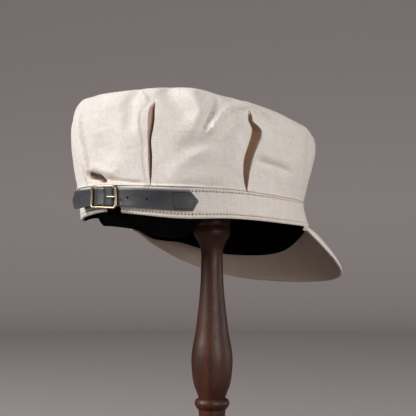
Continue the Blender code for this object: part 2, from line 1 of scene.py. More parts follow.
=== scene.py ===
"""The looks of a cream denim work cap on its turned wood stand, in metres, +Z up, peak towards -Y.

Bearings are degrees round the cap: 0 at the back, 90 at the wearer's right, 180 at the front.
Every sewn piece is an outer and an inner grid of points, worked out from the cap's own form.
"""

import math

import bmesh
import bpy
import numpy as np
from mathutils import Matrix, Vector


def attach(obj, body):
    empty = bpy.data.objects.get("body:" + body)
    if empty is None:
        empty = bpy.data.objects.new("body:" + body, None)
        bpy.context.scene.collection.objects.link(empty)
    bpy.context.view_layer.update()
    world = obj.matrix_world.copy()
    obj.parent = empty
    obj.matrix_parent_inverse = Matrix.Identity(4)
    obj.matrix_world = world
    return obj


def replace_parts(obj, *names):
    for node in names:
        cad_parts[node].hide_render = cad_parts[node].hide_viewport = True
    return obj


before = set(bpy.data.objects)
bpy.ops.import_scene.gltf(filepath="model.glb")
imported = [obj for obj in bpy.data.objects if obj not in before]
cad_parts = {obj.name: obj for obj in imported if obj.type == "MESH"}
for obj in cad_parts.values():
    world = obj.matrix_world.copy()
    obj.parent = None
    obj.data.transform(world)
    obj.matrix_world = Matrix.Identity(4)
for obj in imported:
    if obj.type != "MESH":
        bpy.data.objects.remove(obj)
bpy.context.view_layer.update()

MM = 0.001

# The cap's form, as its solids have it
HEAD_HALF_LENGTH = 0.0975
HEAD_HALF_WIDTH = 0.0848
CROWN_HEIGHT = 0.095
CLOTH_WALL = 0.0015
BAND_HEIGHT = 0.021
BAND_WALL = 0.0020
BAND_EDGE_RISE = 0.0040
BACK_GAP = 0.0160
BACK_GAP_PLACE = -0.0080
CROWN_TUCK = 0.006
CLEARANCE = 0.0003
PANEL_PUFF = 0.0020
PUFF_START = 0.05
PUFF_RISE = 0.40
TURN_START = 0.88
TURN_SPAN = 0.14
CAP_PITCH = math.radians(3.0)
CAP_BACK_SET = 0.021
CAP_REST_HEIGHT = 0.22854

# The peak
PEAK_LENGTH = 0.068
PEAK_WALL = 0.0030
PEAK_HALF_SPREAD = 74.0
PEAK_ARCH = 0.0035

# The peak's relief in millimetres: its unevenness, the groove under its stitches and its width, and
# how deep and how far in from the free edge the cloth rolls over
PEAK_UNEVENNESS = 0.18
PEAK_GROOVE = 0.25
PEAK_GROOVE_WIDTH = 0.6
PEAK_ROLL = 1.35
PEAK_ROLL_REACH = 1.6

# The leather
SWEATBAND_WALL = 0.0012
SWEATBAND_HANG = 0.0215
SWEATBAND_TUCK_IN = 0.22
SWEATBAND_UNEVENNESS = 0.0005
STRAP_WIDTH = 0.0142
STRAP_WALL = 0.0018
STRAP_POINT = 0.0050
STRAP_BEVEL = 0.0009
STRAP_BEVEL_DEPTH = 0.00045
STRAP_UNEVENNESS = 0.00006
STRAP_HOLE_RADIUS = 0.0010
STRAP_HOLE_SPACING = 0.0145
STRAP_FIRST_HOLE = 0.0078
STRAP_RIGHT_REACH = 0.0708
STRAP_TIP_REACH = 0.0395
STRAP_TIP_LIFT = 0.0080
STRAP_MIDDLE = BAND_HEIGHT * 0.575
STRAP_TILT = 0.0028
STRAP_TILT_REACH = 0.045
KEEPER_REACH = 0.0260
KEEPER_WALL = 0.0015
KEEPER_DROP = 0.0012
PATCH_LENGTH = 0.0165
PATCH_INSET = 0.0016

# The buckle
BUCKLE_LENGTH = 0.0235
BUCKLE_EASE = 0.0007
BUCKLE_WIRE = 0.0018
BUCKLE_CORNER = 0.0026
BUCKLE_PLACE = -0.0104
PRONG_WIRE = 0.0016

# The sewing
STITCH_PITCH = 0.0026
STITCH_LENGTH = 0.0015
STITCH_THICKNESS = 0.00080
LOW_STITCH_RISE = 0.0029
TOP_STITCH_DROP = 0.0023
TOP_STITCH_DROP_AWAY = 0.0015
NEEDLE_HOLE_RADIUS = 0.00045
# How strong the painted shade round a needle hole is
NEEDLE_HOLE_PAINTED_SHADE = 1.8
PATCH_STITCH_PITCH = 0.00205
PATCH_STITCH_LENGTH = 0.00135
PATCH_STITCH_THICKNESS = 0.0008
PEAK_STITCH_INSET = 0.0050
PEAK_STITCH_STRETCH = 1.15
PEAK_STITCH_DEPTH = 0.00015
LEDGE_END = 0.0825
LEDGE_DROP = 0.0010
LEDGE_HEIGHT = 0.0010
LEDGE_PROUD = 0.0006
SEAM_ROLL = 0.0021

# The band's relief in millimetres: its unevenness, the groove of a stitch row and how much deeper it
# is at a needle hole, the cloth pulled up and down beside it, how far the thread's middle stands off
# the groove, and how far the two edges roll in
BAND_UNEVENNESS = 0.16
STITCH_GROOVE = 0.18
STITCH_HOLE = 0.42
STITCH_GROOVE_WIDTH = 0.75
STITCH_PULL = 0.10
STITCH_PULL_WIDTH = 2.6
STITCH_LIFT = 0.12
LOW_EDGE_ROLL = 0.90
TOP_EDGE_ROLL = 0.25

# The camera, as the photo has it
VIEW_AZIMUTH = 213.5
CAMERA_DISTANCE = 1.10
CAMERA_HEIGHT = 0.220
FOCAL_PIXELS = 1370.0
AXIS_PIXEL = 212.0
HORIZON_PIXEL = 235.0
IMAGE_PIXELS = 416.0
SENSOR = 36.0

# The studio
FLOOR_RADIUS = 2.0
FLOOR_STEPS = 96
FLOOR_DROP = 0.0002
SWEEP_STEPS = 12
SWEEP_RADIUS = 0.7
SWEEP_WALL = 1.4
LIGHT_AIM = (0.0, 0.0, 0.27)
WORLD_COLOUR = (0.66, 0.63, 0.62, 1.0)
WORLD_STRENGTH = 0.28

# The lights: name, place to the view's right, towards the camera and up, size, power and colour
LIGHTS = (
    ("key", -1.22, 0.42, 0.80, 0.5, 21.0, (1.0, 0.99, 0.98)),
    ("fill", 0.80, 1.35, 0.52, 0.9, 15.5, (1.0, 0.98, 0.965)),
    ("edge", 1.20, -0.15, 0.22, 0.5, 3.0, (1.0, 0.95, 0.92)),
)

# The finishes' colours. The cloth's are its own, a darker tone of it, between its threads, its slubs,
# its flecks, painted shade in a fold and painted shadow deep in one
CREAM = (0.83, 0.79, 0.75)
CREAM_SHADE = (0.73, 0.675, 0.625)
CREAM_GAP = (0.50, 0.43, 0.35)
CREAM_SLUB = (0.60, 0.53, 0.46)
CREAM_FLECK = (0.42, 0.33, 0.24)
# Painted shade where the cloth folds in, and a darker painted shadow where the fold mark passes 1
FOLD_PAINTED_SHADE = (0.36, 0.19, 0.095)
DEEP_FOLD_PAINTED_SHADOW = (0.07, 0.045, 0.03)
TAN_THREAD = (0.74, 0.63, 0.52)
TAN_THREAD_SHADE = (0.58, 0.46, 0.35)
BLACK_THREAD = (0.003, 0.003, 0.003)
BLACK_THREAD_SHADE = (0.008, 0.008, 0.008)
STRAP_BLACK = (0.030, 0.030, 0.035)
STRAP_WORN = (0.090, 0.087, 0.092)
# The lining's own black, darkened further as painted shade for the cap's shaded inside
LINING_BLACK_WITH_PAINTED_SHADE = (0.0015, 0.0015, 0.0015)
LINING_WORN = (0.004, 0.004, 0.004)
# Paler leather along the edges: partly rubbed wear, partly a painted highlight on the bevel
LEATHER_EDGE_WEAR_AND_HIGHLIGHT = (0.17, 0.17, 0.185)
BRASS = (0.56, 0.46, 0.31)
BRASS_BROWN = (0.30, 0.22, 0.14)
BRASS_WORN = (0.70, 0.60, 0.43)
WOOD_DARK = (0.017, 0.005, 0.003)
WOOD_RED = (0.100, 0.026, 0.012)
WOOD_STREAK = (0.020, 0.009, 0.007)
WOOD_PATCH = (0.040, 0.016, 0.011)
WOOD_PORE = (0.010, 0.005, 0.004)
# The paper: painted shade near the stand, its own colour further off, painted shade high up the sweep, and
# the tone bounced light sees
PAPER_NEAR_PAINTED_SHADE = (0.47, 0.43, 0.42)
PAPER_FAR = (0.72, 0.655, 0.645)
PAPER_TOP_PAINTED_SHADE = (0.58, 0.53, 0.52)
PAPER_BOUNCE = (0.20, 0.18, 0.17)

# The rim, where the side turns into the top: its height at each bearing, as a share of CROWN_HEIGHT
RIM_HEIGHTS = (
    (-57.0, 0.950),
    (-12.0, 0.952),
    (33.0, 0.984),
    (50.0, 0.929),
    (65.0, 0.899),
    (90.0, 0.815),
    (123.0, 0.748),
    (180.0, 0.735),
    (240.0, 0.812),
    (270.0, 0.880),
)

# The band's edges rise and fall: bearing, and the lower and the upper edge's rise as shares of
# BAND_EDGE_RISE
EDGE_RISES = (
    (-57.0, -0.15, 0.10),
    (-30.0, 0.35, 0.20),
    (-12.0, 0.85, 0.18),
    (0.0, 0.60, 0.15),
    (30.0, -0.25, 0.00),
    (55.0, 0.10, 0.00),
    (90.0, -0.10, -0.50),
    (123.0, 0.00, -0.55),
    (180.0, 0.00, -0.50),
    (235.0, 0.10, -0.20),
    (262.0, 0.90, 0.30),
    (284.0, 0.90, 0.30),
)

# The form under the band: height as a share of BAND_HEIGHT, girth as a share of the opening, and
# lean towards the back as a share of HEAD_HALF_LENGTH
BAND_SECTIONS = (
    (0.00, 0.983, 0.015),
    (0.35, 0.972, 0.042),
    (0.70, 0.966, 0.068),
    (1.00, 0.966, 0.090),
)

# The crown up its side and over its top: section number, height as a share of the way from the
# band to the rim, then girth and lean as for the band
CROWN_SECTIONS = (
    (0.0, 0.000, 0.966, 0.090),
    (1.0, 0.020, 0.989, 0.092),
    (2.0, 0.110, 1.001, 0.094),
    (3.0, 0.260, 1.019, 0.092),
    (4.0, 0.420, 1.038, 0.083),
    (5.0, 0.580, 1.056, 0.076),
    (6.0, 0.720, 1.067, 0.064),
    (7.0, 0.840, 1.066, 0.051),
    (8.0, 0.930, 1.056, 0.042),
    (9.0, 0.985, 1.032, 0.037),
    (10.0, 1.025, 0.972, 0.034),
    (11.0, 1.055, 0.880, 0.032),
    (12.0, 1.082, 0.720, 0.030),
    (13.0, 1.100, 0.520, 0.028),
    (14.0, 1.110, 0.300, 0.026),
    (15.0, 1.112, 0.100, 0.025),
)
RIM_GIRTH = 1.032

# How finely the crown is divided: from section, to section, rows between them
CROWN_ROWS = ((0.0, 2.0, 20), (2.0, 7.0, 58), (7.0, 11.0, 34), (11.0, 15.0, 12))
INNER_ROWS = ((0.0, 2.0, 12), (2.0, 7.0, 24), (7.0, 11.0, 12), (11.0, 15.0, 5))

# Pleats: height as for the crown, turn from the pleat's bearing in degrees, half its opening and
# its depth in millimetres, and where its keel lies across the opening, from -1 to 1
BACK_PLEAT = (
    (-0.20, 0.0, 0.2, 0.3, 0.0),
    (0.01, 0.0, 0.3, 2.5, 0.0),
    (0.05, 0.0, 0.5, 4.0, 0.1),
    (0.12, 0.0, 1.1, 5.5, 0.2),
    (0.22, 0.0, 1.5, 6.5, 0.2),
    (0.31, -0.1, 1.7, 6.5, 0.2),
    (0.38, -0.3, 1.5, 6.5, 0.2),
    (0.44, -0.5, 1.4, 6.5, 0.2),
    (0.51, -0.4, 1.8, 6.5, 0.3),
    (0.58, -0.1, 2.3, 6.5, 0.4),
    (0.66, 0.0, 2.6, 6.2, 0.5),
    (0.74, -0.1, 2.5, 5.0, 0.6),
    (0.785, 0.0, 2.0, 3.8, 0.6),
    (0.82, 0.4, 1.3, 2.2, 0.5),
    (0.85, 0.7, 1.1, 0.5, 0.2),
    (0.92, 0.7, 2.0, 0.0, 0.0),
    (1.12, 0.7, 8.0, 0.0, 0.0),
)
SIDE_PLEAT = (
    (-0.20, 0.0, 0.2, 0.3, 0.5),
    (0.01, 0.0, 0.4, 3.0, 0.5),
    (0.12, -0.8, 1.8, 6.0, 0.6),
    (0.22, -1.3, 2.7, 7.5, 0.6),
    (0.32, -1.3, 3.6, 9.0, 0.6),
    (0.42, -0.9, 3.9, 9.5, 0.6),
    (0.55, 0.3, 4.1, 9.5, 0.6),
    (0.65, 0.9, 4.6, 9.5, 0.6),
    (0.71, 0.6, 4.6, 9.0, 0.6),
    (0.75, -0.9, 3.0, 7.5, 0.5),
    (0.78, -2.4, 1.7, 6.0, 0.4),
    (0.83, -3.0, 1.4, 4.5, 0.2),
    (0.87, -3.4, 1.3, 2.2, 0.0),
    (0.91, -3.8, 1.2, 0.3, 0.0),
    (0.96, -4.0, 1.5, 0.0, 0.0),
    (1.12, -4.0, 8.0, 0.0, 0.0),
)
HIDDEN_PLEAT = (
    (-0.20, 0.0, 0.2, 0.3, 0.3),
    (0.02, 0.0, 0.3, 3.0, 0.3),
    (0.25, 0.0, 1.3, 8.0, 0.3),
    (0.50, -0.2, 2.0, 10.0, 0.3),
    (0.72, -0.2, 2.6, 9.0, 0.3),
    (0.86, 0.0, 2.0, 3.0, 0.3),
    (0.96, 0.2, 2.5, 0.0, 0.3),
    (1.12, 0.0, 8.0, 0.0, 0.3),
)
LEANING_PLEAT = (
    (-0.20, 5.8, 0.2, 0.3, -0.6),
    (0.02, 6.0, 0.8, 1.0, -0.6),
    (0.15, 4.6, 1.8, 1.0, -0.6),
    (0.25, 3.4, 2.4, 0.9, -0.6),
    (0.42, 1.2, 2.8, 0.8, -0.6),
    (0.55, -0.3, 3.0, 0.7, -0.6),
    (0.70, -2.6, 3.0, 0.5, -0.6),
    (0.83, -5.5, 3.0, 0.3, -0.6),
    (0.93, -7.0, 3.0, 0.0, -0.6),
    (1.12, -8.0, 8.0, 0.0, -0.6),
)

# The pleats round the crown: bearing, its table, how steeply its left and right walls fall, how
# proud its left and right lips stand in millimetres, and how much painted shade it has at each lip
PLEATS = (
    (18.5, BACK_PLEAT, 0.7, 0.8, 0.00, 0.00, 0.62, 0.60),
    (65.0, SIDE_PLEAT, 1.5, 0.5, 0.00, 1.20, 0.00, 0.85),
    (124.0, HIDDEN_PLEAT, 0.8, 0.6, 0.30, 0.50, 0.50, 0.50),
    (222.0, HIDDEN_PLEAT, 0.6, 0.8, 0.50, 0.30, 0.50, 0.50),
    (275.0, SIDE_PLEAT, 0.6, 0.8, 0.50, 0.30, 0.60, 0.30),
    (330.0, LEANING_PLEAT, 0.8, 1.2, 0.35, 0.00, 0.00, 0.00),
)

# Places across a pleat run from -1 at its left lip to 1 at its right one: how far its columns reach
# past a lip, how many stand past each lip and between the lips, and how many from pleat to pleat
FOLD_REACH = 3.2
FOLD_COLUMNS = (12, 26)
PANEL_COLUMNS = 26

# The places across a pleat's lip between which its painted shade fades out, and the pleat's depths in
# millimetres: those between which painted shade sets in, that of whole lips and that of a full fold
LIP_PLACES = (0.96, 1.06)
FOLD_SHADE_DEPTHS = (1.6, 3.6)
LIP_DEPTH = 6.0
FULL_DEPTH = 8.0

# The two lips of a pleat stand proud in a hump: its place across the pleat and its width
LEFT_LIP = (-1.5, 0.9)
RIGHT_LIP = (1.14, 0.32)

# Soft folds of the crown: half width and depth in millimetres, ridges having a depth below zero, and
# the places the fold runs through, as bearing and height. FOLD_STRENGTH scales all their depths, and
# each fold has set in by the first share of its run and dies away from the second one on
FOLD_STRENGTH = 1.55
FOLD_FADES = (0.22, 0.70)
SOFT_FOLDS = (
    (4.4, 2.6, ((11.0, 1.06), (9.0, 0.95), (7.0, 0.85), (7.5, 0.67), (9.0, 0.50))),
    (9.0, 1.4, ((-3.0, 0.86), (-3.0, 0.50), (-4.0, 0.20))),
    (6.0, -0.7, ((-15.0, 0.96), (-12.0, 0.70), (-11.0, 0.40))),
    (3.0, 2.2, ((-30.0, 0.86), (-26.5, 0.62), (-23.5, 0.42), (-20.5, 0.22), (-18.0, 0.06))),
    (2.6, -1.0, ((-34.0, 0.86), (-30.0, 0.62), (-27.5, 0.42), (-24.5, 0.22), (-22.0, 0.04))),
    (2.5, 4.0, ((-24.0, 0.145), (-17.0, 0.115), (-12.0, 0.10), (-8.5, 0.05), (-7.0, 0.00))),
    (3.4, -1.2, ((-20.0, 0.23), (-11.0, 0.18), (-4.0, 0.14), (3.0, 0.13))),
    (1.4, 1.8, ((-9.0, 0.085), (-3.0, 0.065), (4.0, 0.045), (12.0, 0.030), (17.0, 0.020))),
    (6.5, 2.4, ((21.0, 1.05), (25.0, 0.93), (29.5, 0.81), (35.0, 0.70), (39.0, 0.63))),
    (4.0, -1.7, ((34.0, 1.02), (36.0, 0.90), (39.5, 0.77), (40.5, 0.66))),
    (3.3, 2.6, ((45.0, 1.00), (44.5, 0.88), (43.5, 0.75), (41.5, 0.58), (38.0, 0.50))),
    (3.4, -2.8, ((66.0, 1.02), (57.0, 0.93), (51.0, 0.87), (47.0, 0.75), (44.5, 0.60), (40.0, 0.48))),
    (5.2, 2.3, (
        (60.0, 0.87), (56.0, 0.74), (51.5, 0.61), (46.0, 0.50), (39.0, 0.45), (34.0, 0.40), (29.0, 0.32),
    )),
    (4.6, -0.7, ((48.0, 0.48), (43.5, 0.40), (38.5, 0.32), (33.0, 0.22), (27.0, 0.10))),
    (5.0, -1.0, ((57.0, 0.64), (57.0, 0.40), (57.0, 0.12))),
    (7.0, -1.2, ((22.0, 0.09), (34.0, 0.09), (47.0, 0.10), (62.0, 0.11))),
    (2.3, 3.0, ((54.0, 1.08), (61.5, 0.985), (67.0, 0.92), (75.0, 0.82))),
    (6.0, 1.0, ((70.0, 0.96), (73.0, 0.80), (73.0, 0.64))),
    (2.6, 1.8, ((66.0, 0.39), (73.0, 0.355), (82.0, 0.35), (93.0, 0.31))),
    (4.5, -0.9, ((69.0, 0.48), (79.0, 0.44), (91.0, 0.42))),
    (7.0, 1.2, ((101.0, 0.94), (106.0, 0.70), (113.0, 0.30))),
    (8.0, 1.5, ((144.0, 0.96), (147.0, 0.70), (151.0, 0.36))),
    (9.0, 1.2, ((174.0, 0.88), (179.0, 0.60), (186.0, 0.20))),
    (6.0, -1.0, ((160.0, 0.90), (168.0, 0.60), (164.0, 0.25))),
    (8.0, 1.5, ((206.0, 0.98), (201.0, 0.70), (197.0, 0.34))),
    (8.0, 1.4, ((244.0, 0.95), (249.0, 0.60), (253.0, 0.25))),
    (5.0, -1.1, ((238.0, 0.92), (240.0, 0.60), (236.0, 0.30))),
    (7.0, 1.5, ((300.0, 0.97), (296.0, 0.65), (291.0, 0.30))),
)

# The rim's own ridge: how proud it is in millimetres, its height and its half width
RIM_RIDGE = (0.5, 0.99, 0.013)

# The crown's unevenness: wavelength and depth in millimetres, seed, and the heights between which it
# sets in
UNEVENNESS = (
    (34.0, 0.40, 3, 0.05, 0.25),
    (11.0, 0.12, 5, 0.02, 0.12),
)

# The gathers over the band: their depth in millimetres, and how strong they are over the gap, past
# it to the right and elsewhere. A hem stands proud over the gap
GATHER_DEPTH = 0.45
GATHER_STRENGTHS = (1.0, 0.25, 0.12)
HEM_PROUD = 0.9

# The cloth rolls out over its seam between the first two heights and back between the last two
SEAM_ROLL_HEIGHTS = (0.0, 0.0025, 0.004, 0.030)

# The pucker drawn in over the gap: how much painted shade it gets, painted shadow past 1, and the
# depths in millimetres between which that sets in. It is whole below the first height and left of
# the first bearing, and gone past the second
PUCKER_PAINTED_SHADE = (
    (1.75, 1.9, 3.2),
    (0.25, 3.2, 4.8),
)
PUCKER_HEIGHTS = (0.16, 0.26)
PUCKER_BEARINGS = (-6.0, 0.0)

# The top's unevenness: depth and wavelength in millimetres, and seed
TOP_UNEVENNESS = (0.30, 26.0, 9)

# Soft hollows of the top: place to the right and to the back of its middle as shares of the half
# width and half length, reach and depth in millimetres
TOP_HOLLOWS = (
    (-0.25, 0.30, 26.0, 1.6),
    (0.30, 0.05, 30.0, 1.8),
    (-0.35, -0.35, 24.0, 1.4),
    (0.20, -0.50, 22.0, 1.2),
    (0.05, 0.65, 18.0, -0.8),
)

# Below the band, the sweatband hangs: bearing, and length as a share of SWEATBAND_HANG
SWEATBAND_HANGS = (
    (-22.5, 0.00),
    (-20.5, 0.02),
    (-18.5, 0.36),
    (-15.0, 0.48),
    (5.0, 0.53),
    (12.0, 0.62),
    (24.0, 0.68),
    (32.0, 0.62),
    (37.0, 0.40),
    (41.0, 0.08),
    (45.0, 0.00),
    (118.0, 0.00),
    (138.0, 0.36),
    (153.0, 0.76),
    (168.0, 0.95),
    (182.0, 1.00),
    (198.0, 0.98),
    (213.0, 0.82),
    (228.0, 0.57),
    (243.0, 0.52),
    (256.0, 0.20),
    (266.0, 0.00),
    (337.5, 0.00),
)

# The peak's free edge: bearing as a share of PEAK_HALF_SPREAD from the front, then its reach
# sideways, forward and down as shares of HEAD_HALF_WIDTH, PEAK_LENGTH and PEAK_LENGTH
PEAK_EDGE = (
    (0.00, 0.000, 0.800, -0.600),
    (0.20, 0.270, 0.780, -0.590),
    (0.40, 0.550, 0.660, -0.560),
    (0.55, 0.775, 0.370, -0.490),
    (0.70, 0.920, -0.130, -0.350),
    (0.85, 0.980, -0.610, -0.190),
    (0.95, 0.995, -0.910, -0.070),
    (1.00, 1.010, -1.050, -0.025),
)

# The turned stand from its head to its foot: radius and height in millimetres, and 1 at a sharp edge
STAND_PROFILE = (
    (0.0, 313.7, 0),
    (12.0, 313.0, 0),
    (24.0, 310.8, 0),
    (33.0, 306.4, 0),
    (36.0, 301.6, 0),
    (36.0, 296.6, 1),
    (11.0, 289.6, 1),
    (11.0, 236.0, 1),
    (14.4, 233.2, 0),
    (15.0, 230.6, 0),
    (14.6, 228.2, 0),
    (13.4, 227.2, 1),
    (14.4, 225.6, 0),
    (15.0, 223.2, 0),
    (14.4, 219.8, 0),
    (11.8, 215.8, 0),
    (9.6, 210.4, 0),
    (8.8, 205.5, 0),
    (8.7, 200.0, 0),
    (9.6, 175.8, 0),
    (13.1, 143.7, 0),
    (15.6, 130.0, 0),
    (16.6, 119.6, 0),
    (15.8, 107.1, 0),
    (14.4, 99.5, 0),
    (12.8, 95.2, 0),
    (10.6, 89.2, 1),
    (12.8, 88.2, 0),
    (14.0, 85.1, 0),
    (12.8, 82.0, 0),
    (10.9, 79.8, 1),
    (10.4, 70.0, 0),
    (12.2, 56.0, 0),
    (16.9, 44.0, 0),
    (24.7, 34.5, 1),
    (27.3, 32.0, 1),
    (39.0, 26.2, 0),
    (55.9, 17.2, 0),
    (63.1, 11.2, 0),
    (65.0, 6.0, 0),
    (63.8, 0.0, 1),
    (0.0, 0.0, 1),
)
STAND_STEPS = 96
STAND_SHARP_ANGLE = 38.0


def smooth(rows, place, column=1, period=None):
    """The column's value at each place in a table sorted by its first column, on a smooth curve."""
    table = np.array(rows, float)
    place = np.asarray(place, float)
    if period:
        place = (place - table[0, 0]) % period + table[0, 0]
        turn = np.zeros(table.shape[1])
        turn[0] = period
        table = np.vstack([table[-1] - turn, table, table[0] + turn])
    x, y = table[:, 0], table[:, column]
    place = np.clip(place, x[0], x[-1])
    index = np.clip(np.searchsorted(x, place, side="right") - 1, 0, len(x) - 2)
    before, after = np.maximum(index - 1, 0), np.minimum(index + 2, len(x) - 1)
    span = x[index + 1] - x[index]
    share = (place - x[index]) / span
    rise = y[index + 1] - y[index]
    limit = 2.5 * np.abs(rise)
    a = np.clip((y[index + 1] - y[before]) / (x[index + 1] - x[before]) * span, -limit, limit)
    b = np.clip((y[after] - y[index]) / (x[after] - x[index]) * span, -limit, limit)
    return y[index] + share * (a + share * ((3 * rise - 2 * a - b) + share * (a + b - 2 * rise)))


def ease(low, high, value):
    """0 below low, 1 above high, and a smooth rise between."""
    share = np.clip((value - low) / (high - low), 0, 1)
    return share * share * (3 - 2 * share)


def hump(value, width):
    """1 at 0, falling smoothly to both sides."""
    return np.exp(-((value / width) ** 2))


def from_back(bearing):
    """The bearing between -100 and 260 degrees, so that it runs on evenly through the back."""
    return (bearing + 100.0) % 360.0 - 100.0


def ripple(x, y, wavelength, seed):
    """An even cloth-like unevenness between about -1 and 1, the same on each run."""
    draw = np.random.default_rng(seed)
    total = 0.0
    for _ in range(7):
        turn = draw.uniform(0, 2 * math.pi)
        pace = 2 * math.pi / (wavelength * draw.uniform(0.7, 1.5))
        total = total + np.sin(pace * (x * math.cos(turn) + y * math.sin(turn)) + draw.uniform(0, 6.28))
    return total / 4.0


def rim_height(bearing):
    """The rim's height over the band's lower edge."""
    return CROWN_HEIGHT * smooth(RIM_HEIGHTS, bearing, period=360.0)


def edge_rise(bearing, share):
    """How far the band rises here: at its lower edge for a share of 0, at its upper one for 1."""
    lower, upper = (smooth(EDGE_RISES, bearing, column, period=360.0) for column in (1, 2))
    return BAND_EDGE_RISE * (lower + (upper - lower) * share)


def outward(bearing):
    """The level direction straight off the cap's side."""
    turn = np.radians(bearing)
    direction = np.stack(
        [-HEAD_HALF_LENGTH * np.sin(turn), HEAD_HALF_WIDTH * np.cos(turn), np.zeros_like(turn)], -1
    )
    return direction / np.linalg.norm(direction, axis=-1, keepdims=True)


def form(bearing, girth, lean, height, out=0.0):
    """Points on the cap's form, in the cap's own level frame."""
    bearing, girth, lean, height, out = np.broadcast_arrays(bearing, girth, lean, height, out)
    turn = np.radians(bearing)
    across = -HEAD_HALF_WIDTH * np.sin(turn) * girth
    back = HEAD_HALF_LENGTH * (np.cos(turn) * girth + lean)
    return np.stack([across, back, height], -1) + outward(bearing) * out[..., None]


def side(bearing, height, out=0.0):
    """Points on the form under the band, at this height over its lower edge and this far outside."""
    share = np.asarray(height) / BAND_HEIGHT
    girth, lean = (smooth(BAND_SECTIONS, share, column) for column in (1, 2))
    return form(bearing, girth, lean, height + edge_rise(bearing, np.clip(share, 0, 1)), out)


def arc_table():
    """Distance round the band's outer face from the back towards the right, and the bearing there."""
    bearings = np.arange(0.0, 361.0, 2.0)
    points = side(bearings, BAND_HEIGHT / 2, CLEARANCE + BAND_WALL)
    steps = np.linalg.norm(np.diff(points, axis=0), axis=1)
    return np.concatenate([[0.0], np.cumsum(steps)]), bearings


ARC, ARC_BEARINGS = arc_table()
ARC_LENGTH = ARC[-1]


def bearing_at(distance):
    """The bearing this far round the band from the back."""
    return np.interp(np.asarray(distance) % ARC_LENGTH, ARC, ARC_BEARINGS)


def on_band(distance, height, out):
    """Points this far round the band from the back, over its lower edge, and off its outer face.
    Over the gap at the back the strap and its buckle tilt, lower edge outward."""
    drop = 0.5 + (STRAP_MIDDLE - height) / STRAP_WIDTH
    fade = np.clip(1 - distance / STRAP_TILT_REACH, 0, 1)
    tilt = STRAP_TILT * drop * fade
    return side(bearing_at(distance), height, CLEARANCE + BAND_WALL + out + tilt)


def on_stand(points):
    """The cap's own frame to the frame of the whole object: pitched, set back and lowered."""
    cosine, sine = math.cos(CAP_PITCH), math.sin(CAP_PITCH)
    x, y, z = points[..., 0], points[..., 1], points[..., 2]
    return np.stack(
        [x, y * cosine - z * sine + CAP_BACK_SET, y * sine + z * cosine + CAP_REST_HEIGHT], -1
    )


def grid_faces(rows, columns, start, closed):
    """The faces of a grid of points numbered from start, row by row, closed into a ring or not."""
    row = np.arange(rows - 1)[:, None] * columns + start
    column = np.arange(columns if closed else columns - 1)[None, :]
    beside = (column + 1) % columns
    faces = np.stack([row + column, row + beside, row + columns + beside, row + columns + column], -1)
    return faces.reshape(-1, 4)


def corner_places(along, up, closed):
    """Texture places in metres at each face corner of a grid, given at each of its points."""
    if closed:
        along = np.concatenate([along, along[:, :1] + along[:, -1:] + along[:, 1:2]], 1)
        up = np.concatenate([up, up[:, :1]], 1)
    places = np.stack([along, up], -1)
    corners = [places[:-1, :-1], places[:-1, 1:], places[1:, 1:], places[1:, :-1]]
    return np.stack(corners, 2).reshape(-1, 2)


def piece(name, points, faces, finish, places=None, marks=None):
    """One mesh piece of the object, facing out, riding on its only body."""
    mesh = bpy.data.meshes.new(name)
    mesh.from_pydata(np.asarray(points).tolist(), [], [list(face) for face in faces])
    if places is not None:
        layer = mesh.uv_layers.new(name="Cloth")
        layer.data.foreach_set("uv", np.asarray(places, np.float32).ravel())
    for mark, values in (marks or {}).items():
        attribute = mesh.attributes.new(mark, "FLOAT", "POINT")
        attribute.data.foreach_set("value", np.asarray(values, np.float32).ravel())
    work = bmesh.new()
    work.from_mesh(mesh)
    bmesh.ops.recalc_face_normals(work, faces=work.faces)
    work.to_mesh(mesh)
    work.free()
    mesh.shade_smooth()
    mesh.set_sharp_from_angle(angle=math.radians(60))
    mesh.materials.append(finish)
    made = bpy.data.objects.new(name, mesh)
    bpy.context.scene.collection.objects.link(made)
    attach(made, "root")
    return made


def shell(name, outer, inner, finish, along, up, closed=False, poles=None, marks=None):
    """A sewn wall between an outer and an inner grid of points with as many columns. Places along
    and up the cloth are given for the outer grid, and the inner one takes its rows' nearest."""
    columns = outer.shape[1]
    start = outer.shape[0] * columns
    points = np.concatenate([outer.reshape(-1, 3), inner.reshape(-1, 3)])
    nearest = np.linspace(0, outer.shape[0] - 1, inner.shape[0]).round().astype(int)
    faces = [
        grid_faces(outer.shape[0], columns, 0, closed),
        grid_faces(inner.shape[0], columns, start, closed),
    ]
    places = [corner_places(along, up, closed), corner_places(along[nearest], up[nearest], closed)]
    column = np.arange(columns if closed else columns - 1)
    beside = (column + 1) % columns
    tops = ((outer.shape[0] - 1) * columns, start + (inner.shape[0] - 1) * columns)
    edges = [(0, start)] if poles is not None else [(0, start), tops]
    for near, far in edges:
        faces.append(np.stack([near + column, near + beside, far + beside, far + column], -1))
        places.append(np.tile([[0.0, 0.0], [MM, 0.0], [MM, MM], [0.0, MM]], (len(column), 1)))
    faces = [list(face) for group in faces for face in group.tolist()]
    if poles is not None:
        points = np.concatenate([points, poles])
        for top, pole in zip(tops, (len(points) - 2, len(points) - 1)):
            faces += [[top + a, top + b, pole] for a, b in zip(column.tolist(), beside.tolist())]
            places.append(np.zeros((3 * len(column), 2)))
    if not closed:
        ends = end_faces(outer, inner, start)
        faces += ends
        places.append(np.zeros((sum(len(face) for face in ends), 2)))
    given = {mark: np.resize(values, len(points)) for mark, values in (marks or {}).items()}
    return piece(name, on_stand(points), faces, finish, np.concatenate(places), given)


def end_faces(outer, inner, start):
    """One face at each open end of a shell, round its wall's section."""
    columns = outer.shape[1]
    faces = []
    for end in (0, columns - 1):
        out = [row * columns + end for row in range(outer.shape[0])]
        back = [start + row * columns + end for row in range(inner.shape[0])]
        faces.append(out + back[::-1])
    return faces


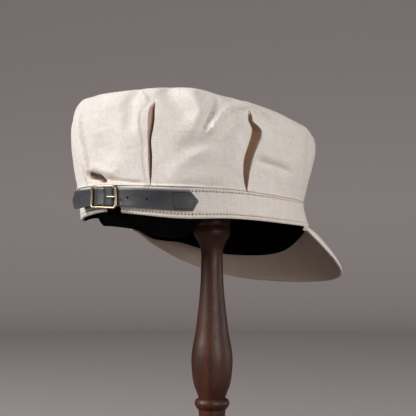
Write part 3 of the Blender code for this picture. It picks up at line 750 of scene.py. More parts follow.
def fold_shape(across, keel, left_power, right_power):
    """How deep a pleat is across its opening, from 0 at its lips to 1 at its keel."""
    left = np.clip((across + 1) / (keel + 1), 0, 1) ** left_power
    right = np.clip((1 - across) / (1 - keel), 0, 1) ** right_power
    return np.where(across < keel, left, right)


def fold_places():
    """Columns across one pleat: places from -FOLD_REACH to FOLD_REACH, closest at its lips."""
    outside, inside = FOLD_COLUMNS
    reach = 1 + (FOLD_REACH - 1) * np.linspace(1, 0, outside, endpoint=False) ** 1.7
    within = -np.cos(np.linspace(0, math.pi, inside))
    return np.concatenate([-reach, within, reach[::-1]])


def crown_columns(share, girth, wall):
    """For each row of the crown, its columns' bearings, how deep each lies in its pleat, how far into
    a fold it is and how much painted shade the cloth gets there."""
    radius = girth * (HEAD_HALF_LENGTH + HEAD_HALF_WIDTH) / 2
    across = fold_places()
    folds = []
    for middle, rows, left_power, right_power, left_lip, right_lip, left_lip_shade, right_lip_shade in PLEATS:
        half = smooth(rows, share, 2) * MM + wall
        half = np.where(share < 1.0, np.degrees(half / radius), half / MM)
        centre = middle + smooth(rows, share, 1)
        deep = smooth(rows, share, 3) * MM
        keel = smooth(rows, share, 4)[:, None]
        fall = fold_shape(across[None, :], keel, left_power, right_power)
        inside = deep[:, None] * fall
        fold_shade = np.maximum(fall, np.where(across[None, :] < keel, left_lip_shade, right_lip_shade))
        fold_shade = fold_shade * (1 - ease(*LIP_PLACES, np.abs(across)))
        fold_shade = fold_shade * ease(*FOLD_SHADE_DEPTHS, deep / MM)[:, None]
        lips = sum(
            proud * hump(across - place, width)
            for proud, (place, width) in ((left_lip, LEFT_LIP), (right_lip, RIGHT_LIP))
        )
        proud = lips[None, :] * MM * ease(0.0, LIP_DEPTH, deep / MM)[:, None]
        places = centre[:, None] + across[None, :] * half[:, None]
        folds.append((places, inside - proud, inside / (FULL_DEPTH * MM), fold_shade))
    puff = PANEL_PUFF * np.clip((share - PUFF_START) / PUFF_RISE, 0, 1)
    part = np.arange(1, PANEL_COLUMNS) / PANEL_COLUMNS
    groups = []
    for fold, following in zip(folds, folds[1:] + folds[:1]):
        start = fold[0][:, -1:]
        stretch = (following[0][:, :1] - start) % 360.0
        swell = -puff[:, None] * np.sin(math.pi * part)[None, :] ** 2
        groups += [fold, (start + stretch * part[None, :], swell, np.zeros_like(swell), np.zeros_like(swell))]
    return [np.concatenate([group[index] for group in groups], 1) for index in range(4)]


def line_depth(along, up, places, width, deep):
    """The depth of one soft fold, which runs through its places and dies away at both ends."""
    steps = np.linalg.norm(np.diff(places, axis=0), axis=1)
    total, run = steps.sum(), 0.0
    nearest, part = np.full(along.shape, np.inf), np.zeros(along.shape)
    for first, last, step in zip(places, places[1:], steps):
        line = last - first
        reach = np.clip(((along - first[0]) * line[0] + (up - first[1]) * line[1]) / step**2, 0, 1)
        away = np.hypot(along - first[0] - reach * line[0], up - first[1] - reach * line[1])
        part = np.where(away < nearest, (run + reach * step) / total, part)
        nearest = np.minimum(nearest, away)
        run += step
    begun, fading = FOLD_FADES
    return deep * hump(nearest, width) * ease(0.0, begun, part) * (1 - ease(fading, 1.0, part))


def soft_fold_depth(bearing, share):
    """The crown's soft folds, dents and unevenness, as depth below its plain form."""
    tall = (CROWN_HEIGHT - BAND_HEIGHT) / MM
    scale = math.radians(1.0) * (HEAD_HALF_LENGTH + HEAD_HALF_WIDTH) / 2 / MM
    along = from_back(bearing) * scale
    up = share * tall
    depth = 0.0
    for width, deep, run in SOFT_FOLDS:
        places = np.array([(from_back(turn) * scale, height * tall) for turn, height in run])
        depth = depth + FOLD_STRENGTH * line_depth(along, up, places, width, deep)
    for wavelength, deep, seed, low, high in UNEVENNESS:
        depth = depth + deep * ripple(along, up, wavelength, seed) * ease(low, high, share)
    proud, height, half_width = RIM_RIDGE
    depth = depth - proud * hump(share - height, half_width)
    return depth * MM


def gather_depth(bearing, share):
    """The gathers where the crown's cloth is drawn in above the gap and along the band."""
    turn = from_back(bearing)
    past_gap = ease(2.0, 8.0, turn) * (1 - ease(30.0, 60.0, turn))
    over_gap, past, elsewhere = GATHER_STRENGTHS
    strong = over_gap * hump(turn + 2.0, 9.0) + past * past_gap + elsewhere
    waves = np.sin(turn * 3.4 + 1.3 * np.sin(turn * 1.1)) + 0.5 * np.sin(turn * 7.3 + 2.0)
    near = hump(share - 0.01, 0.05)
    hem = HEM_PROUD * hump(turn + 2.5, 5.5) * hump(share - 0.012, 0.016)
    return (GATHER_DEPTH * strong * waves * near - hem) * MM


def crown_rows(table):
    """The crown's section numbers, row by row."""
    sections = np.concatenate([np.linspace(low, high, count, endpoint=False) for low, high, count in table])
    return np.append(sections, table[-1][1])


def crown_grid(table, wall):
    """One face of the crown's cloth, its tuck behind the band first, then its side and top."""
    section = crown_rows(table)
    share, girth, lean = (smooth(CROWN_SECTIONS, section, column) for column in (1, 2, 3))
    bearing, depth, inside, fold_shade = crown_columns(share, girth, wall)
    share, girth, lean = (np.repeat(value[:, None], bearing.shape[1], 1) for value in (share, girth, lean))
    on_top = np.where(share > TURN_START, np.minimum(girth / RIM_GIRTH, 1.0), 1.0)
    turn_over = np.clip((share - TURN_START) / TURN_SPAN, 0, 1)
    mean_rim = CROWN_HEIGHT * np.mean([row[1] for row in RIM_HEIGHTS])
    rim = rim_height(bearing) * on_top**2 + mean_rim * (1 - on_top**2)
    edge = BAND_HEIGHT + edge_rise(bearing, 1.0) * (1 - np.minimum(share, 1.0))
    soft = soft_fold_depth(bearing, share) + gather_depth(bearing, share)
    roll_start, rolled_out, turning_back, flat = SEAM_ROLL_HEIGHTS
    roll = SEAM_ROLL * ease(roll_start, rolled_out, share) * (1 - ease(turning_back, flat, share))
    # Painted shade in the pucker over the gap, turning to painted shadow past 1
    pucker_shade = sum(amount * ease(low * MM, high * MM, soft) for amount, low, high in PUCKER_PAINTED_SHADE)
    pucker_shade = pucker_shade * (1 - ease(*PUCKER_HEIGHTS, share)) * (1 - ease(*PUCKER_BEARINGS, from_back(bearing)))
    soft = (soft - roll) * (1 - np.clip(inside, 0, 1))
    fold_shade = np.maximum(fold_shade, pucker_shade)
    inward = (depth + soft) * on_top**2 + wall * (1 - turn_over)
    height = edge + share * (rim - BAND_HEIGHT) - wall * turn_over
    points = form(bearing, girth, lean, height, -inward)
    points[..., 2] -= top_hollow_depth(points) * turn_over
    tuck = np.array([BAND_HEIGHT - CROWN_TUCK, BAND_HEIGHT - CROWN_TUCK / 2])[:, None]
    tuck = np.repeat(tuck, bearing.shape[1], 1)
    tucked = side(np.repeat(bearing[:1], 2, 0), tuck, -depth[:1] * 0.3 - wall)
    fold_shade = np.concatenate([np.zeros_like(tucked[..., 0]), fold_shade])
    along = np.radians(np.unwrap(bearing, period=360.0, axis=1)) * HEAD_HALF_LENGTH
    along = np.concatenate([along[:1], along[:1], along])
    up = smooth(CROWN_SECTIONS, section, 1) * (CROWN_HEIGHT - BAND_HEIGHT)
    up = np.concatenate([[-CROWN_TUCK, -CROWN_TUCK / 2], up])
    return np.concatenate([tucked, points]), along, np.repeat(up[:, None], along.shape[1], 1), fold_shade


def top_hollow_depth(points):
    """How far the crown's top sinks at these points."""
    depth = 0.0
    for across, back, reach, deep in TOP_HOLLOWS:
        x = (points[..., 0] - across * HEAD_HALF_WIDTH) / MM
        y = (points[..., 1] - back * HEAD_HALF_LENGTH) / MM
        depth = depth + deep * hump(np.hypot(x, y), reach)
    deep, wavelength, seed = TOP_UNEVENNESS
    return (depth + deep * ripple(points[..., 0] / MM, points[..., 1] / MM, wavelength, seed)) * MM


def make_crown(cloth):
    """The crown's cloth wall, closed over its top by a pole on each face."""
    outer, along, up, fold_shade = crown_grid(CROWN_ROWS, 0.0)
    inner = crown_grid(INNER_ROWS, CLOTH_WALL)[0]
    top = outer[-1].mean(0)
    poles = np.array([top, top - [0, 0, CLOTH_WALL]])
    unseen = np.zeros(inner.shape[0] * inner.shape[1] + len(poles))
    # The fold mark: painted shade in the pleats and in the pucker over the gap
    fold = np.concatenate([np.clip(fold_shade, 0, 2).ravel(), unseen])
    made = shell(
        "crown_cloth", outer, inner, cloth, along, up,
        closed=True, poles=poles, marks={"fold": fold},
    )
    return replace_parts(made, "crown")


def top_stitch_drop(distance):
    """How far the upper stitch row lies under the band's edge: nearer to it away from the strap."""
    away = ease(60 * MM, 130 * MM, distance) * (1 - ease(-100 * MM, -60 * MM, distance - ARC_LENGTH))
    return TOP_STITCH_DROP + (TOP_STITCH_DROP_AWAY - TOP_STITCH_DROP) * away


def band_relief(distance, height):
    """How far the band's face stands proud: its ledge over the strap, which only its right half has,
    its stitch lines, the cloth pulled beside them and its rolled edges."""
    d, h = distance / MM, height / MM
    tall = BAND_HEIGHT / MM
    on_right_half = np.min(distance) < ARC_LENGTH / 4
    beside = 1 - ease(LEDGE_END / MM - 6, LEDGE_END / MM, d) if on_right_half else 0.0
    ledge = LEDGE_PROUD / MM * beside * hump(h - tall + LEDGE_DROP / MM, LEDGE_HEIGHT / MM)
    ledge = ledge * (1 + 0.25 * np.sin(d * 2.1 + np.sin(d * 0.7)))
    relief = BAND_UNEVENNESS * ripple(d, h * 1.4, 21.0, 13) + ledge
    hole = 0.5 + 0.5 * np.cos(2 * math.pi * d / (STITCH_PITCH / MM))
    pull = np.sin(2 * math.pi * d / (2.6 * STITCH_PITCH / MM) + np.sin(d * 0.31))
    for line in (LOW_STITCH_RISE / MM, tall - top_stitch_drop(distance) / MM):
        relief = relief - (STITCH_GROOVE + STITCH_HOLE * hole) * hump(h - line, STITCH_GROOVE_WIDTH)
        relief = relief + STITCH_PULL * pull * hump(h - line, STITCH_PULL_WIDTH)
    rolled = LOW_EDGE_ROLL * hump(h, 0.5) + TOP_EDGE_ROLL * hump(h - tall, 0.35)
    return (relief - rolled) * MM


def needle_hole_shade(distance, height):
    """Painted shade round the needle holes of the band's two stitch rows, dark enough to turn to painted
    shadow.
    """
    phase = np.cos(math.pi * distance / STITCH_PITCH) ** 2
    low_row = hump(height - LOW_STITCH_RISE, NEEDLE_HOLE_RADIUS)
    top_row = hump(height - BAND_HEIGHT + top_stitch_drop(distance), NEEDLE_HOLE_RADIUS)
    return NEEDLE_HOLE_PAINTED_SHADE * phase**3 * (low_row + top_row)


def band_spans():
    """Start and end of the band's right and left half, as distances round it from the back."""
    front = ARC_LENGTH / 2
    right = (BACK_GAP_PLACE + BACK_GAP / 2, front - CLEARANCE / 2)
    left = (front + CLEARANCE / 2, ARC_LENGTH + BACK_GAP_PLACE - BACK_GAP / 2)
    return {"right": right, "left": left}


def make_band_half(half, cloth):
    """One half of the band, with rows of points close together at its edges and stitch rows."""
    start, end = band_spans()[half]
    columns = 900
    rise = BAND_HEIGHT * (0.5 - 0.5 * np.cos(np.linspace(0.16, 1, 26) * math.pi))
    stitched = np.arange(-2, 3) * 0.3 * MM
    rise = np.concatenate([[0.0, 0.25 * MM, 0.6 * MM], rise, LOW_STITCH_RISE + stitched])
    rise = np.concatenate([rise, BAND_HEIGHT - np.arange(1, 13) * 0.3 * MM])
    rise = np.unique(np.clip(rise, 0, BAND_HEIGHT))
    along, up = np.meshgrid(np.linspace(start, end, columns), rise)
    outer = side(bearing_at(along), up, CLEARANCE + BAND_WALL + band_relief(along, up))
    inner_along, inner_up = np.meshgrid(along[0], np.linspace(0, BAND_HEIGHT, 4))
    inner = side(bearing_at(inner_along), inner_up, CLEARANCE)
    # The fold mark: painted shade round the needle holes
    fold = np.concatenate([needle_hole_shade(along, up).ravel(), np.zeros(inner.shape[0] * inner.shape[1])])
    made = shell(f"band_{half}_cloth", outer, inner, cloth, along, up, marks={"fold": fold})
    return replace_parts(made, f"band_{half}")


def stitch_mesh(places, directions, normals, length, thickness):
    """Points and faces of many small thread humps, each from needle hole to needle hole."""
    rings, sides = 7, 8
    run = np.linspace(-1, 1, rings)
    swell = np.sqrt(np.clip(1 - run**4, 0.03, 1))
    turn = np.linspace(0, 2 * math.pi, sides, endpoint=False)
    across = np.cross(normals, directions)
    offsets = (
        directions[:, None, None] * (run * length / 2)[None, :, None, None]
        + across[:, None, None] * (swell[:, None] * np.cos(turn) * thickness)[None, :, :, None]
        + normals[:, None, None] * (swell[:, None] * np.sin(turn) * thickness)[None, :, :, None]
        - normals[:, None, None] * (run**2 * thickness * 0.8)[None, :, None, None]
    )
    points = (places[:, None, None] + offsets).reshape(-1, 3)
    one = grid_faces(rings, sides, 0, True).tolist()
    one += [list(range(sides))[::-1], list(range((rings - 1) * sides, rings * sides))]
    starts = range(0, len(places) * rings * sides, rings * sides)
    faces = [[index + start for index in face] for start in starts for face in one]
    return points, faces


def band_stitch_rows():
    """Places, directions and normals of the band's two stitch rows."""
    found = []
    for start, end in band_spans().values():
        distance = np.arange(start + 1.5 * MM, end - 1.0 * MM, STITCH_PITCH) + STITCH_PITCH / 2
        distance = np.floor(distance / STITCH_PITCH) * STITCH_PITCH + STITCH_PITCH / 2
        for height in (np.full_like(distance, LOW_STITCH_RISE), BAND_HEIGHT - top_stitch_drop(distance)):
            out = CLEARANCE + BAND_WALL + band_relief(distance, height) + STITCH_LIFT * MM
            here = side(bearing_at(distance), height, out)
            ahead = side(bearing_at(distance + MM), height, out)
            direction = ahead - here
            direction /= np.linalg.norm(direction, axis=1, keepdims=True)
            found.append((here, direction, outward(bearing_at(distance))))
    return [np.concatenate([row[index] for row in found]) for index in range(3)]


def make_band_stitches(thread):
    points, faces = stitch_mesh(*band_stitch_rows(), STITCH_LENGTH, STITCH_THICKNESS / 2)
    return piece("band_stitches", on_stand(points), faces, thread)


def make_sweatband(leather):
    """The leather band inside, whose lower edge hangs out in front and beside the gap at the back."""
    columns, rows = 480, 26
    top = BAND_HEIGHT - CROWN_TUCK - CLEARANCE
    start = SWEATBAND_HANGS[0][0]
    bearing = start + 360.0 * np.arange(columns) / columns
    hang = SWEATBAND_HANG * np.maximum(smooth(SWEATBAND_HANGS, bearing), 0.0)
    part = np.linspace(0, 1, rows)[:, None]
    bottom = CLEARANCE - hang[None, :]
    height = bottom + (top - bottom) * part
    below = np.maximum(-height, 0.0)
    bearing = np.repeat(bearing[None, :], rows, 0)
    along = np.radians(bearing) * HEAD_HALF_LENGTH
    wave = SWEATBAND_UNEVENNESS * ripple(along / MM, height / MM, 30.0, 21) * ease(0.0, 6 * MM, below)
    rolled = 0.5 * SWEATBAND_WALL * hump(height - bottom, 0.5 * MM)
    tucked = -below * SWEATBAND_TUCK_IN + wave
    outer = side(bearing, height, tucked - rolled)
    inner = side(bearing, height, tucked - SWEATBAND_WALL + rolled)
    # The edge mark: rubbed wear and a painted highlight along the hanging edge
    edge = np.tile(hump(height - bottom, 0.8 * MM).ravel(), 2)
    made = shell(
        "sweatband_leather", outer, inner, leather, along, height,
        closed=True, marks={"edge": edge},
    )
    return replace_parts(made, "sweatband")


def peak_point(share, part):
    """A point on the peak's upper face: share across it from -1 to 1, and part of the way from its
    root to its free edge."""
    bearing = 180.0 - share * PEAK_HALF_SPREAD
    root = side(bearing, np.full_like(share, -CLEARANCE), CLEARANCE + BAND_WALL)
    across, forward, down = (smooth(PEAK_EDGE, np.abs(share), column) for column in (1, 2, 3))
    edge = np.stack(
        [
            -np.copysign(across, share) * HEAD_HALF_WIDTH,
            -HEAD_HALF_LENGTH - forward * PEAK_LENGTH,
            down * PEAK_LENGTH,
        ],
        -1,
    )
    arch = PEAK_ARCH * 4 * part * (1 - part) * (1 - share**4)
    point = root + (edge - root) * part[..., None]
    point[..., 2] += arch
    fall = np.hypot(edge[..., 0] - root[..., 0], edge[..., 1] - root[..., 1])
    slope = np.arctan2(root[..., 2] - edge[..., 2], np.maximum(fall, 1e-6))
    under = -outward(bearing) * np.sin(slope)[..., None]
    under[..., 2] -= np.cos(slope)
    return point, under, np.linalg.norm(edge - root, axis=-1)


def make_peak(cloth):
    """The peak's cloth, with a groove under its stitch row, a rolled free edge and painted shade on its under
    face.
    """
    rows = 1 - (1 - np.linspace(0, 1, 46)) ** 1.35
    share, part = np.meshgrid(np.linspace(-1, 1, 300), rows)
    point, under, length = peak_point(share, part)
    from_edge = (1 - part) * length / MM
    along = -np.radians(share * PEAK_HALF_SPREAD) * (HEAD_HALF_LENGTH + part * length)
    wave = PEAK_UNEVENNESS * ripple(along / MM, part * length / MM, 24.0, 31)
    groove = PEAK_GROOVE * hump(from_edge - PEAK_STITCH_INSET / MM, PEAK_GROOVE_WIDTH)
    rolled = PEAK_ROLL * np.sqrt(np.clip(1 - from_edge / PEAK_ROLL_REACH, 0, 1)) ** 1.5
    top = point + under * ((groove + rolled - wave)[..., None] * MM)
    low = point + under * (PEAK_WALL - (groove + rolled + 0.4 * wave) * MM)[..., None]
    # The fold mark: painted shade over the peak's under face, fading out at its free edge
    fold = np.concatenate([np.zeros(top.shape[:2]).ravel(), 0.50 * ease(0.0, 3.0, from_edge).ravel()])
    made = shell("peak_cloth", top, low, cloth, along, part * length, marks={"fold": fold})
    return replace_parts(made, "peak")


def make_peak_stitches(thread):
    """A stitch row along the peak's free edge, on its upper and its under face."""
    share = np.linspace(-0.985, 0.985, 2400)
    length = peak_point(share, np.ones_like(share))[2]
    part = 1 - PEAK_STITCH_INSET / np.maximum(length, 9 * MM)
    line, under, _ = peak_point(share, part)
    run = np.concatenate([[0], np.cumsum(np.linalg.norm(np.diff(line, axis=0), axis=1))])
    stops = np.arange(STITCH_PITCH, run[-1], STITCH_PITCH * PEAK_STITCH_STRETCH)
    here = np.stack([np.interp(stops, run, line[:, axis]) for axis in range(3)], -1)
    ahead = np.stack([np.interp(stops + 0.4 * MM, run, line[:, axis]) for axis in range(3)], -1)
    normal = np.stack([np.interp(stops, run, under[:, axis]) for axis in range(3)], -1)
    normal /= np.linalg.norm(normal, axis=1, keepdims=True)
    direction = ahead - here
    direction /= np.linalg.norm(direction, axis=1, keepdims=True)
    places = np.concatenate(
        [here + normal * PEAK_STITCH_DEPTH, here + normal * (PEAK_WALL - PEAK_STITCH_DEPTH)]
    )
    points, faces = stitch_mesh(
        places,
        np.concatenate([direction, direction]),
        np.concatenate([-normal, normal]),
        STITCH_LENGTH * 1.1,
        STITCH_THICKNESS / 2,
    )
    return piece("peak_stitches", on_stand(points), faces, thread)


def frame_level(distance):
    """The middle of the buckle's wire off the band: it leans out over the keeper at the left."""
    right = STRAP_WALL + 2 * CLEARANCE + BUCKLE_WIRE / 2
    left = right + KEEPER_WALL + CLEARANCE
    share = (BUCKLE_PLACE + BUCKLE_LENGTH / 2 - distance) / BUCKLE_LENGTH
    return right + (left - right) * share


def strap_level(distance):
    """How far the strap's underside lies off the band: under the buckle's bars, over its middle bar."""
    half = BUCKLE_LENGTH / 2
    place = (distance - BUCKLE_PLACE) / half
    over_bar = frame_level(BUCKLE_PLACE) + BUCKLE_WIRE / 2 + CLEARANCE
    over_keeper = KEEPER_WALL + 2 * CLEARANCE
    near = np.abs(place)
    lift = over_bar - np.where(place > 0, CLEARANCE, over_keeper)
    level = np.where(place > 0, CLEARANCE, over_keeper) + lift * (1 - ease(0.22, 0.74, near))
    past = np.minimum(place + 1.2, 0.0) * half / STRAP_TIP_REACH
    return level + STRAP_TIP_LIFT * past * past


def keeper_level(distance):
    under_bar = frame_level(BUCKLE_PLACE) - BUCKLE_WIRE / 2 - CLEARANCE - KEEPER_WALL
    return CLEARANCE + (under_bar - CLEARANCE) * ease(-0.0070, -0.0012, distance - BUCKLE_PLACE)


def strap_widths(left, right):
    """Stops along the strap and its width at each: a point at both ends."""
    blunt = STRAP_WIDTH * 0.06
    stops = np.concatenate([
        np.linspace(left, left + STRAP_POINT, 14, endpoint=False),
        np.linspace(left + STRAP_POINT, right - STRAP_POINT, 190, endpoint=False),
        np.linspace(right - STRAP_POINT, right, 14),
    ])
    to_left = np.clip((stops - left) / (STRAP_POINT * 0.75), 0, 1)
    to_right = np.clip((right - stops) / STRAP_POINT, 0, 1)
    return stops, blunt + (STRAP_WIDTH - blunt) * np.minimum(to_left, to_right)


def strip(name, stops, widths, level, wall, middle, finish, node):
    """A flat strap along the band with bevelled edges."""
    rim = np.array([0.435, 0.465, 0.485, 0.5])
    across = np.concatenate([-rim[::-1], np.linspace(-0.39, 0.39, 12), rim])
    distance, place = np.meshgrid(stops, across)
    width = np.repeat(widths[None, :], len(across), 0)
    ends = np.minimum(distance - stops[0], stops[-1] - distance)
    from_edge = np.minimum((0.5 - np.abs(place)) * width, ends)
    bevel = STRAP_BEVEL_DEPTH * np.clip(1 - from_edge / STRAP_BEVEL, 0, 1) ** 1.5
    grain = STRAP_UNEVENNESS * ripple(distance / MM, place * 14, 9.0, 41)
    height = middle + place * width
    base = level(distance)
    outer = on_band(distance, height, base + wall - bevel + grain)
    inner = on_band(distance, height, base + 0.3 * bevel)
    # The edge mark: rubbed wear and a painted highlight along the bevelled edges
    edge = np.tile(np.clip(1 - from_edge / (1.3 * STRAP_BEVEL), 0, 1).ravel(), 2)
    made = shell(name, outer, inner, finish, distance, height, marks={"edge": edge})
    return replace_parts(made, node)


def tube(path, normals, radii, sides=14, closed=False, flatten=1.0):
    """Points and faces of a round wire along a path, its rings standing on the given normals."""
    path, normals = np.asarray(path), np.asarray(normals)
    count = len(path)
    if closed:
        run = np.roll(path, -1, 0) - np.roll(path, 1, 0)
    else:
        run = np.gradient(path, axis=0)
    beside = np.cross(normals, run)
    beside /= np.linalg.norm(beside, axis=1, keepdims=True)
    up = np.cross(run, beside)
    up /= np.linalg.norm(up, axis=1, keepdims=True)
    turn = np.linspace(0, 2 * math.pi, sides, endpoint=False)
    radii = np.broadcast_to(radii, count)[:, None, None]
    ring = beside[:, None] * np.cos(turn)[None, :, None] + up[:, None] * np.sin(turn)[None, :, None] * flatten
    points = (path[:, None] + ring * radii).reshape(-1, 3)
    faces = grid_faces(count, sides, 0, True).tolist()
    if closed:
        last = (count - 1) * sides
        faces += [[last + i, last + (i + 1) % sides, (i + 1) % sides, i] for i in range(sides)]
    else:
        faces += [list(range(sides))[::-1], list(range((count - 1) * sides, count * sides))]
    return points, faces


def cut(target, points, faces):
    """Cuts a closed form out of a piece, for good."""
    mesh = bpy.data.meshes.new("cutter")
    mesh.from_pydata(on_stand(points).tolist(), [], faces)
    work = bmesh.new()
    work.from_mesh(mesh)
    bmesh.ops.recalc_face_normals(work, faces=work.faces)
    work.to_mesh(mesh)
    work.free()
    cutter = bpy.data.objects.new("cutter", mesh)
    bpy.context.scene.collection.objects.link(cutter)
    modifier = target.modifiers.new("Hole", "BOOLEAN")
    modifier.object = cutter
    bpy.context.view_layer.update()
    graph = bpy.context.evaluated_depsgraph_get()
    made = bpy.data.meshes.new_from_object(target.evaluated_get(graph))
    target.modifiers.remove(modifier)
    target.data = made
    bpy.data.objects.remove(cutter, do_unlink=True)


def hole_distances():
    first = BUCKLE_PLACE + BUCKLE_LENGTH / 2 + STRAP_FIRST_HOLE
    return [first + STRAP_HOLE_SPACING * index for index in range(2)]


def make_strap(leather):
    """The strap, with its holes and the slot that the prong goes through."""
    left, right = BUCKLE_PLACE - STRAP_TIP_REACH, BUCKLE_PLACE + STRAP_RIGHT_REACH
    strap = strip(
        "strap_leather", *strap_widths(left, right), strap_level, STRAP_WALL, STRAP_MIDDLE, leather, "strap"
    )
    for distance in hole_distances():
        normal = outward(bearing_at(distance))
        centre = on_band(distance, STRAP_MIDDLE, CLEARANCE + STRAP_WALL / 2)
        path = [centre - normal * 2 * STRAP_WALL, centre, centre + normal * 2 * STRAP_WALL]
        cut(strap, *tube(path, [[0, 0, 1]] * 3, STRAP_HOLE_RADIUS, sides=20))
    path, normals = prong_path()
    cut(strap, *tube(path, normals, PRONG_WIRE / 2 + CLEARANCE, sides=16))
    return strap


def make_keeper(leather):
    stops = np.linspace(BUCKLE_PLACE - KEEPER_REACH, BUCKLE_PLACE, 60)
    widths = np.full_like(stops, STRAP_WIDTH)
    middle = STRAP_MIDDLE - KEEPER_DROP
    return strip("keeper_leather", stops, widths, keeper_level, KEEPER_WALL, middle, leather, "strap_keeper")


def patch_outline():
    """The stitched pentagon at the strap's anchored end: distances and heights of its corners."""
    right = BUCKLE_PLACE + STRAP_RIGHT_REACH
    half = STRAP_WIDTH / 2 - PATCH_INSET
    left = right - PATCH_LENGTH - PATCH_INSET
    shoulder = right - STRAP_POINT - PATCH_INSET * 0.5
    tip = right - PATCH_INSET * 1.5
    return [(left, -half), (shoulder, -half), (tip, 0.0), (shoulder, half), (left, half)]


def patch_stitch_row():
    """Places, directions and normals of the stitches round the patch."""
    corners = patch_outline()
    places, directions, normals = [], [], []
    for (from_along, from_up), (to_along, to_up) in zip(corners, corners[1:] + corners[:1]):
        length = math.hypot(to_along - from_along, to_up - from_up)
        count = max(round(length / PATCH_STITCH_PITCH), 2)
        for step in range(count):
            part = (step + 0.5) / count
            along = from_along + (to_along - from_along) * part
            up = STRAP_MIDDLE + from_up + (to_up - from_up) * part
            step_along, step_up = (to_along - from_along) / length * MM, (to_up - from_up) / length * MM
            level = CLEARANCE + STRAP_WALL + 0.05 * MM
            here = on_band(along, up, level)
            ahead = on_band(along + step_along, up + step_up, level)
            places.append(here)
            directions.append((ahead - here) / np.linalg.norm(ahead - here))
            normals.append(outward(bearing_at(along)))
    return np.array(places), np.array(directions), np.array(normals)


def make_patch_stitches(thread):
    points, faces = stitch_mesh(*patch_stitch_row(), PATCH_STITCH_LENGTH, PATCH_STITCH_THICKNESS / 2)
    return piece("patch_stitches", on_stand(points), faces, thread)


def make_buckle(brass):
    """The wire frame with its middle bar."""
    half_length = (BUCKLE_LENGTH - BUCKLE_WIRE) / 2
    half_height = (STRAP_WIDTH + BUCKLE_WIRE) / 2 + BUCKLE_EASE
    corners = []
    for side_sign, up_sign, turn in ((1, 1, 0.0), (-1, 1, 90.0), (-1, -1, 180.0), (1, -1, 270.0)):
        for step in range(9):
            angle = math.radians(turn + 90.0 * step / 8)
            along = side_sign * (half_length - BUCKLE_CORNER) + BUCKLE_CORNER * math.cos(angle)
            up = up_sign * (half_height - BUCKLE_CORNER) + BUCKLE_CORNER * math.sin(angle)
            corners.append((along, up))
    path = []
    for (along, up), (next_along, next_up) in zip(corners, corners[1:] + corners[:1]):
        path.append((along, up))
        run_along, run_up = next_along - along, next_up - up
        if math.hypot(run_along, run_up) > BUCKLE_CORNER:
            path += [(along + run_along * part, up + run_up * part) for part in (0.2, 0.4, 0.6, 0.8)]
    along, up = np.array(path).T
    distance = BUCKLE_PLACE + along
    points = on_band(distance, STRAP_MIDDLE + up, frame_level(distance))
    ring = tube(points, outward(bearing_at(distance)), BUCKLE_WIRE / 2, sides=16, closed=True)
    rise = np.linspace(-half_height, half_height, 9)
    bar_path = on_band(np.full_like(rise, BUCKLE_PLACE), STRAP_MIDDLE + rise, frame_level(BUCKLE_PLACE))
    bar = tube(bar_path, outward(np.full_like(rise, bearing_at(BUCKLE_PLACE))), BUCKLE_WIRE * 0.45, sides=16)
    shift = len(ring[0])
    faces = ring[1] + [[index + shift for index in face] for face in bar[1]]
    made = piece("buckle_frame", on_stand(np.concatenate([ring[0], bar[0]])), faces, brass)
    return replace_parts(made, "buckle")


def prong_path():
    """From the middle bar, up through the strap and over the right bar."""
    right = BUCKLE_PLACE + (BUCKLE_LENGTH - BUCKLE_WIRE) / 2
    bar_top = frame_level(right) + BUCKLE_WIRE / 2 + PRONG_WIRE / 2 + CLEARANCE
    start = BUCKLE_PLACE + (BUCKLE_WIRE + PRONG_WIRE) / 2 + CLEARANCE
    low = frame_level(BUCKLE_PLACE)
    span = right - start
    rows = (
        (0.00, 0.00),
        (0.12, 0.45),
        (0.30, 0.92),
        (0.60, 1.00),
        (1.00, 1.00),
        (1.00 + BUCKLE_WIRE * 0.8 / span, 1.00),
    )
    part = np.linspace(0, rows[-1][0], 26)
    distance = start + span * part
    level = low + (bar_top - low) * smooth(rows, part)
    return on_band(distance, np.full_like(distance, STRAP_MIDDLE), level), outward(bearing_at(distance))


def make_prong(brass):
    path, normals = prong_path()
    radii = PRONG_WIRE / 2 * (1 - 0.25 * np.linspace(0, 1, len(path)) ** 2)
    radii[-1] *= 0.55
    points, faces = tube(path, normals, radii, sides=14)
    made = piece("buckle_tongue", on_stand(points), faces, brass)
    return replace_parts(made, "buckle_prong")


def turned_outline():
    """The stand's outline, with smooth curves between its sharp edges."""
    found = []
    run = [0]
    for index in range(1, len(STAND_PROFILE)):
        run.append(index)
        if STAND_PROFILE[index][2] or index == len(STAND_PROFILE) - 1:
            rows = [(float(place), *STAND_PROFILE[place][:2]) for place in run]
            steps = np.linspace(run[0], run[-1], 1 if len(run) == 1 else 7 * (len(run) - 1) + 1)
            found.append(np.stack([smooth(rows, steps, column) for column in (1, 2)], -1))
            run = [index]
    outline = np.concatenate([found[0]] + [part[1:] for part in found[1:]]) * MM
    return outline[1:-1]


def make_stand(wood):
    """The stand, turned from its outline."""
    outline = turned_outline()
    turn = np.linspace(0, 2 * math.pi, STAND_STEPS, endpoint=False)
    ring = np.stack([np.cos(turn), np.sin(turn)], -1)
    rows = np.concatenate(
        [outline[:, None, :1] * ring[None], np.repeat(outline[:, None, 1:], STAND_STEPS, 1)], -1
    )
    points = rows.reshape(-1, 3)
    faces = grid_faces(len(outline), STAND_STEPS, 0, True).tolist()
    last = (len(outline) - 1) * STAND_STEPS
    faces += [list(range(STAND_STEPS)), list(range(last, last + STAND_STEPS))]
    made = piece("turned_stand", points, faces, wood)
    made.data.set_sharp_from_angle(angle=math.radians(STAND_SHARP_ANGLE))
    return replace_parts(made, "stand")


